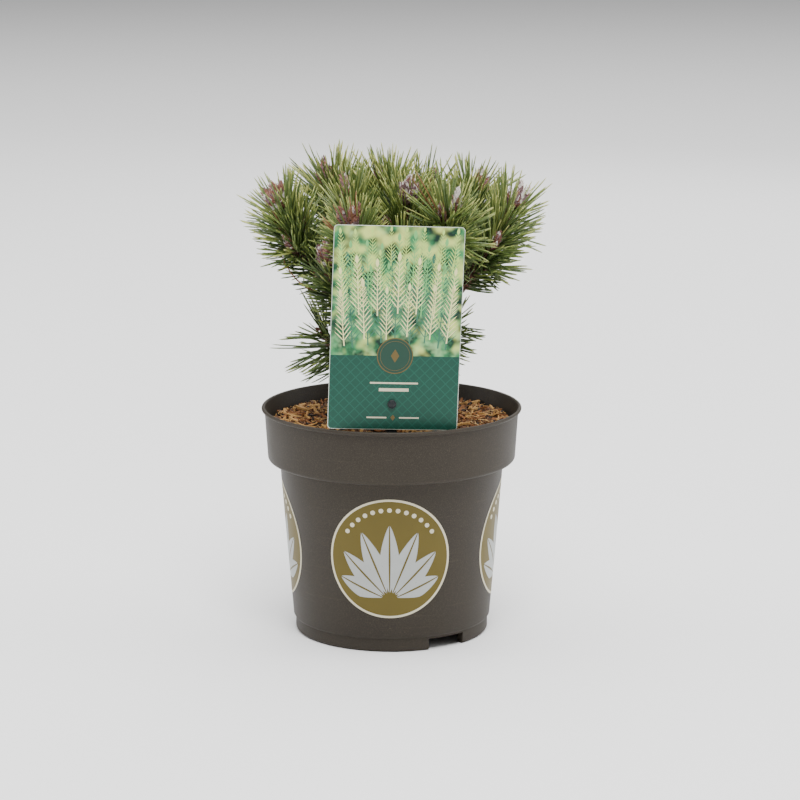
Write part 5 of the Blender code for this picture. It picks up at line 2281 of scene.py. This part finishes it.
    def on_stems(self, shoots: Sequence[Shoot]) -> list[Copy]:
        """Dry scales that stand off the shoots between the needles."""
        rng = Random(self.stem_seed)
        copies = []
        for shoot in shoots:
            total = shoot.length()
            end = 1 - shoot.bud * 0.9 / total
            count = total * end * self.stem_scales_per_metre
            for i in range(int(count)):
                middle, along = shoot.at(end * (i + rng.random()) / max(1, count))
                out = sideways(along, i * GOLDEN_ANGLE)
                heading = (along + out * rng.uniform(0.15, 0.6)).normalized()
                size = rng.uniform(*self.stem_scale_size)
                copies.append(Copy(middle + out * shoot.radius * 0.8, turn_to(heading, out),
                                   Vector((size, size, size)), rng.randrange(3)))
        return copies


@dataclass
class DryTwig:
    """A thin dead twig at the left, without needles."""

    points: tuple[Triple, ...] = (
        (-0.0445, 0.0000, 0.2490),
        (-0.0530, -0.0060, 0.2515),
        (-0.0655, -0.0100, 0.2590),
        (-0.0745, -0.0110, 0.2700),
        (-0.0815, -0.0110, 0.2850),
    )
    radius: float = 0.0007
    sides: int = 6

    def build(self) -> None:
        """Build the twig."""
        bm = bmesh.new()
        path = resample([Vector(p) for p in self.points], 0.002)
        count = len(path)
        radii = [self.radius * (1.2 - 0.9 * i / count) for i in range(count - 1)] + [0.0]
        sweep(bm, path, radii, self.sides)
        finish = Finish("dry_twig", "7d4f36", 0.8)
        settle(piece_of("dry_twig", outwards(bm), [finish]))


# Camera, light and floor


@dataclass
class Studio:
    """A pale floor, soft light and the camera at the photograph's angle."""

    target: Triple = (0.0062, 0.0, 0.1707)
    distance: float = 2.2
    elevation: float = 11.86
    lens: float = 135.45
    sensor: float = 36.0
    floor_size: float = 40.0
    pale: float = 0.90
    sky: float = 0.20
    lights: tuple[tuple[str, Triple, float, float], ...] = (
        ("canopy", (0.0, 1.0, 4.5), 6.0, 400.0),
        ("key", (0.2, -1.5, 2.9), 1.4, 110.0),
        ("left", (-2.2, 0.2, 0.9), 1.6, 24.0),
        ("right", (2.2, 0.2, 0.9), 1.6, 29.0),
        ("back", (0.6, 2.2, 1.3), 1.6, 10.0),
    )

    def stand(self, name: str, data: bpy.types.ID, place: Vector) -> Obj:
        """Stand a camera or a lamp at a place, pointed at the plant."""
        obj = bpy.data.objects.new(name, data)
        obj.location = place
        aim = Vector(self.target) - place
        obj.rotation_euler = aim.to_track_quat("-Z", "Y").to_euler()
        bpy.context.scene.collection.objects.link(obj)
        return obj

    def build(self) -> None:
        """Build camera, world, lights and floor."""
        scene = bpy.context.scene
        lens = bpy.data.cameras.new("camera")
        lens.sensor_width = self.sensor
        lens.lens = self.lens
        angle = radians(self.elevation)
        back = Vector((0.0, -cos(angle), sin(angle)))
        scene.camera = self.stand("camera", lens, Vector(self.target) + back * self.distance)
        world = bpy.data.worlds.new("studio")
        world.use_nodes = True
        ground = world.node_tree.nodes["Background"]
        ground.inputs["Color"].default_value = (1.0, 1.0, 1.0, 1.0)
        ground.inputs["Strength"].default_value = self.sky
        scene.world = world
        for name, place, size, power in self.lights:
            light = bpy.data.lights.new(name, "AREA")
            light.size = size
            light.energy = power
            self.stand(name, light, Vector(place))
        self.floor()

    def floor(self) -> None:
        """A plain pale floor, which isn't part of the object."""
        bm = bmesh.new()
        bmesh.ops.create_circle(bm, cap_ends=True, segments=96, radius=self.floor_size)
        floor = piece_of("floor", bm, [])
        made = bpy.data.materials.new("floor")
        made.use_nodes = True
        shader = made.node_tree.nodes["Principled BSDF"]
        shader.inputs["Base Color"].default_value = (self.pale, self.pale, self.pale, 1.0)
        shader.inputs["Roughness"].default_value = 0.9
        floor.data.materials.append(made)
        floor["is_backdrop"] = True


def write_sizes() -> None:
    """Gather the model's box and the dressed model's box as plain lists."""
    boxes = {"model": CAD_BOX, "dressed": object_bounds()}
    plain = {key: [list(corner) for corner in box] for key, box in boxes.items()}


def main() -> None:
    """Build the plant and its pot, piece by piece."""
    logging.basicConfig(level=logging.INFO, format="%(message)s")
    copies, scatter = CopyTree(), ScatterTree()
    pot = Pot()
    pot.build()
    Badges(pot).build()
    Mulch(pot).build(scatter)
    Label().build(copies)
    skeleton = Skeleton()
    shoots = skeleton.main_shoots()
    shoots += skeleton.finer_twigs(shoots)
    Limbs(skeleton).build(shoots)
    Needles().build(shoots, Room(shoots, skeleton), copies)
    Buds().build(shoots, copies)
    DryTwig().build()
    Studio().build()
    write_sizes()


if __name__ == "__main__":
    main()
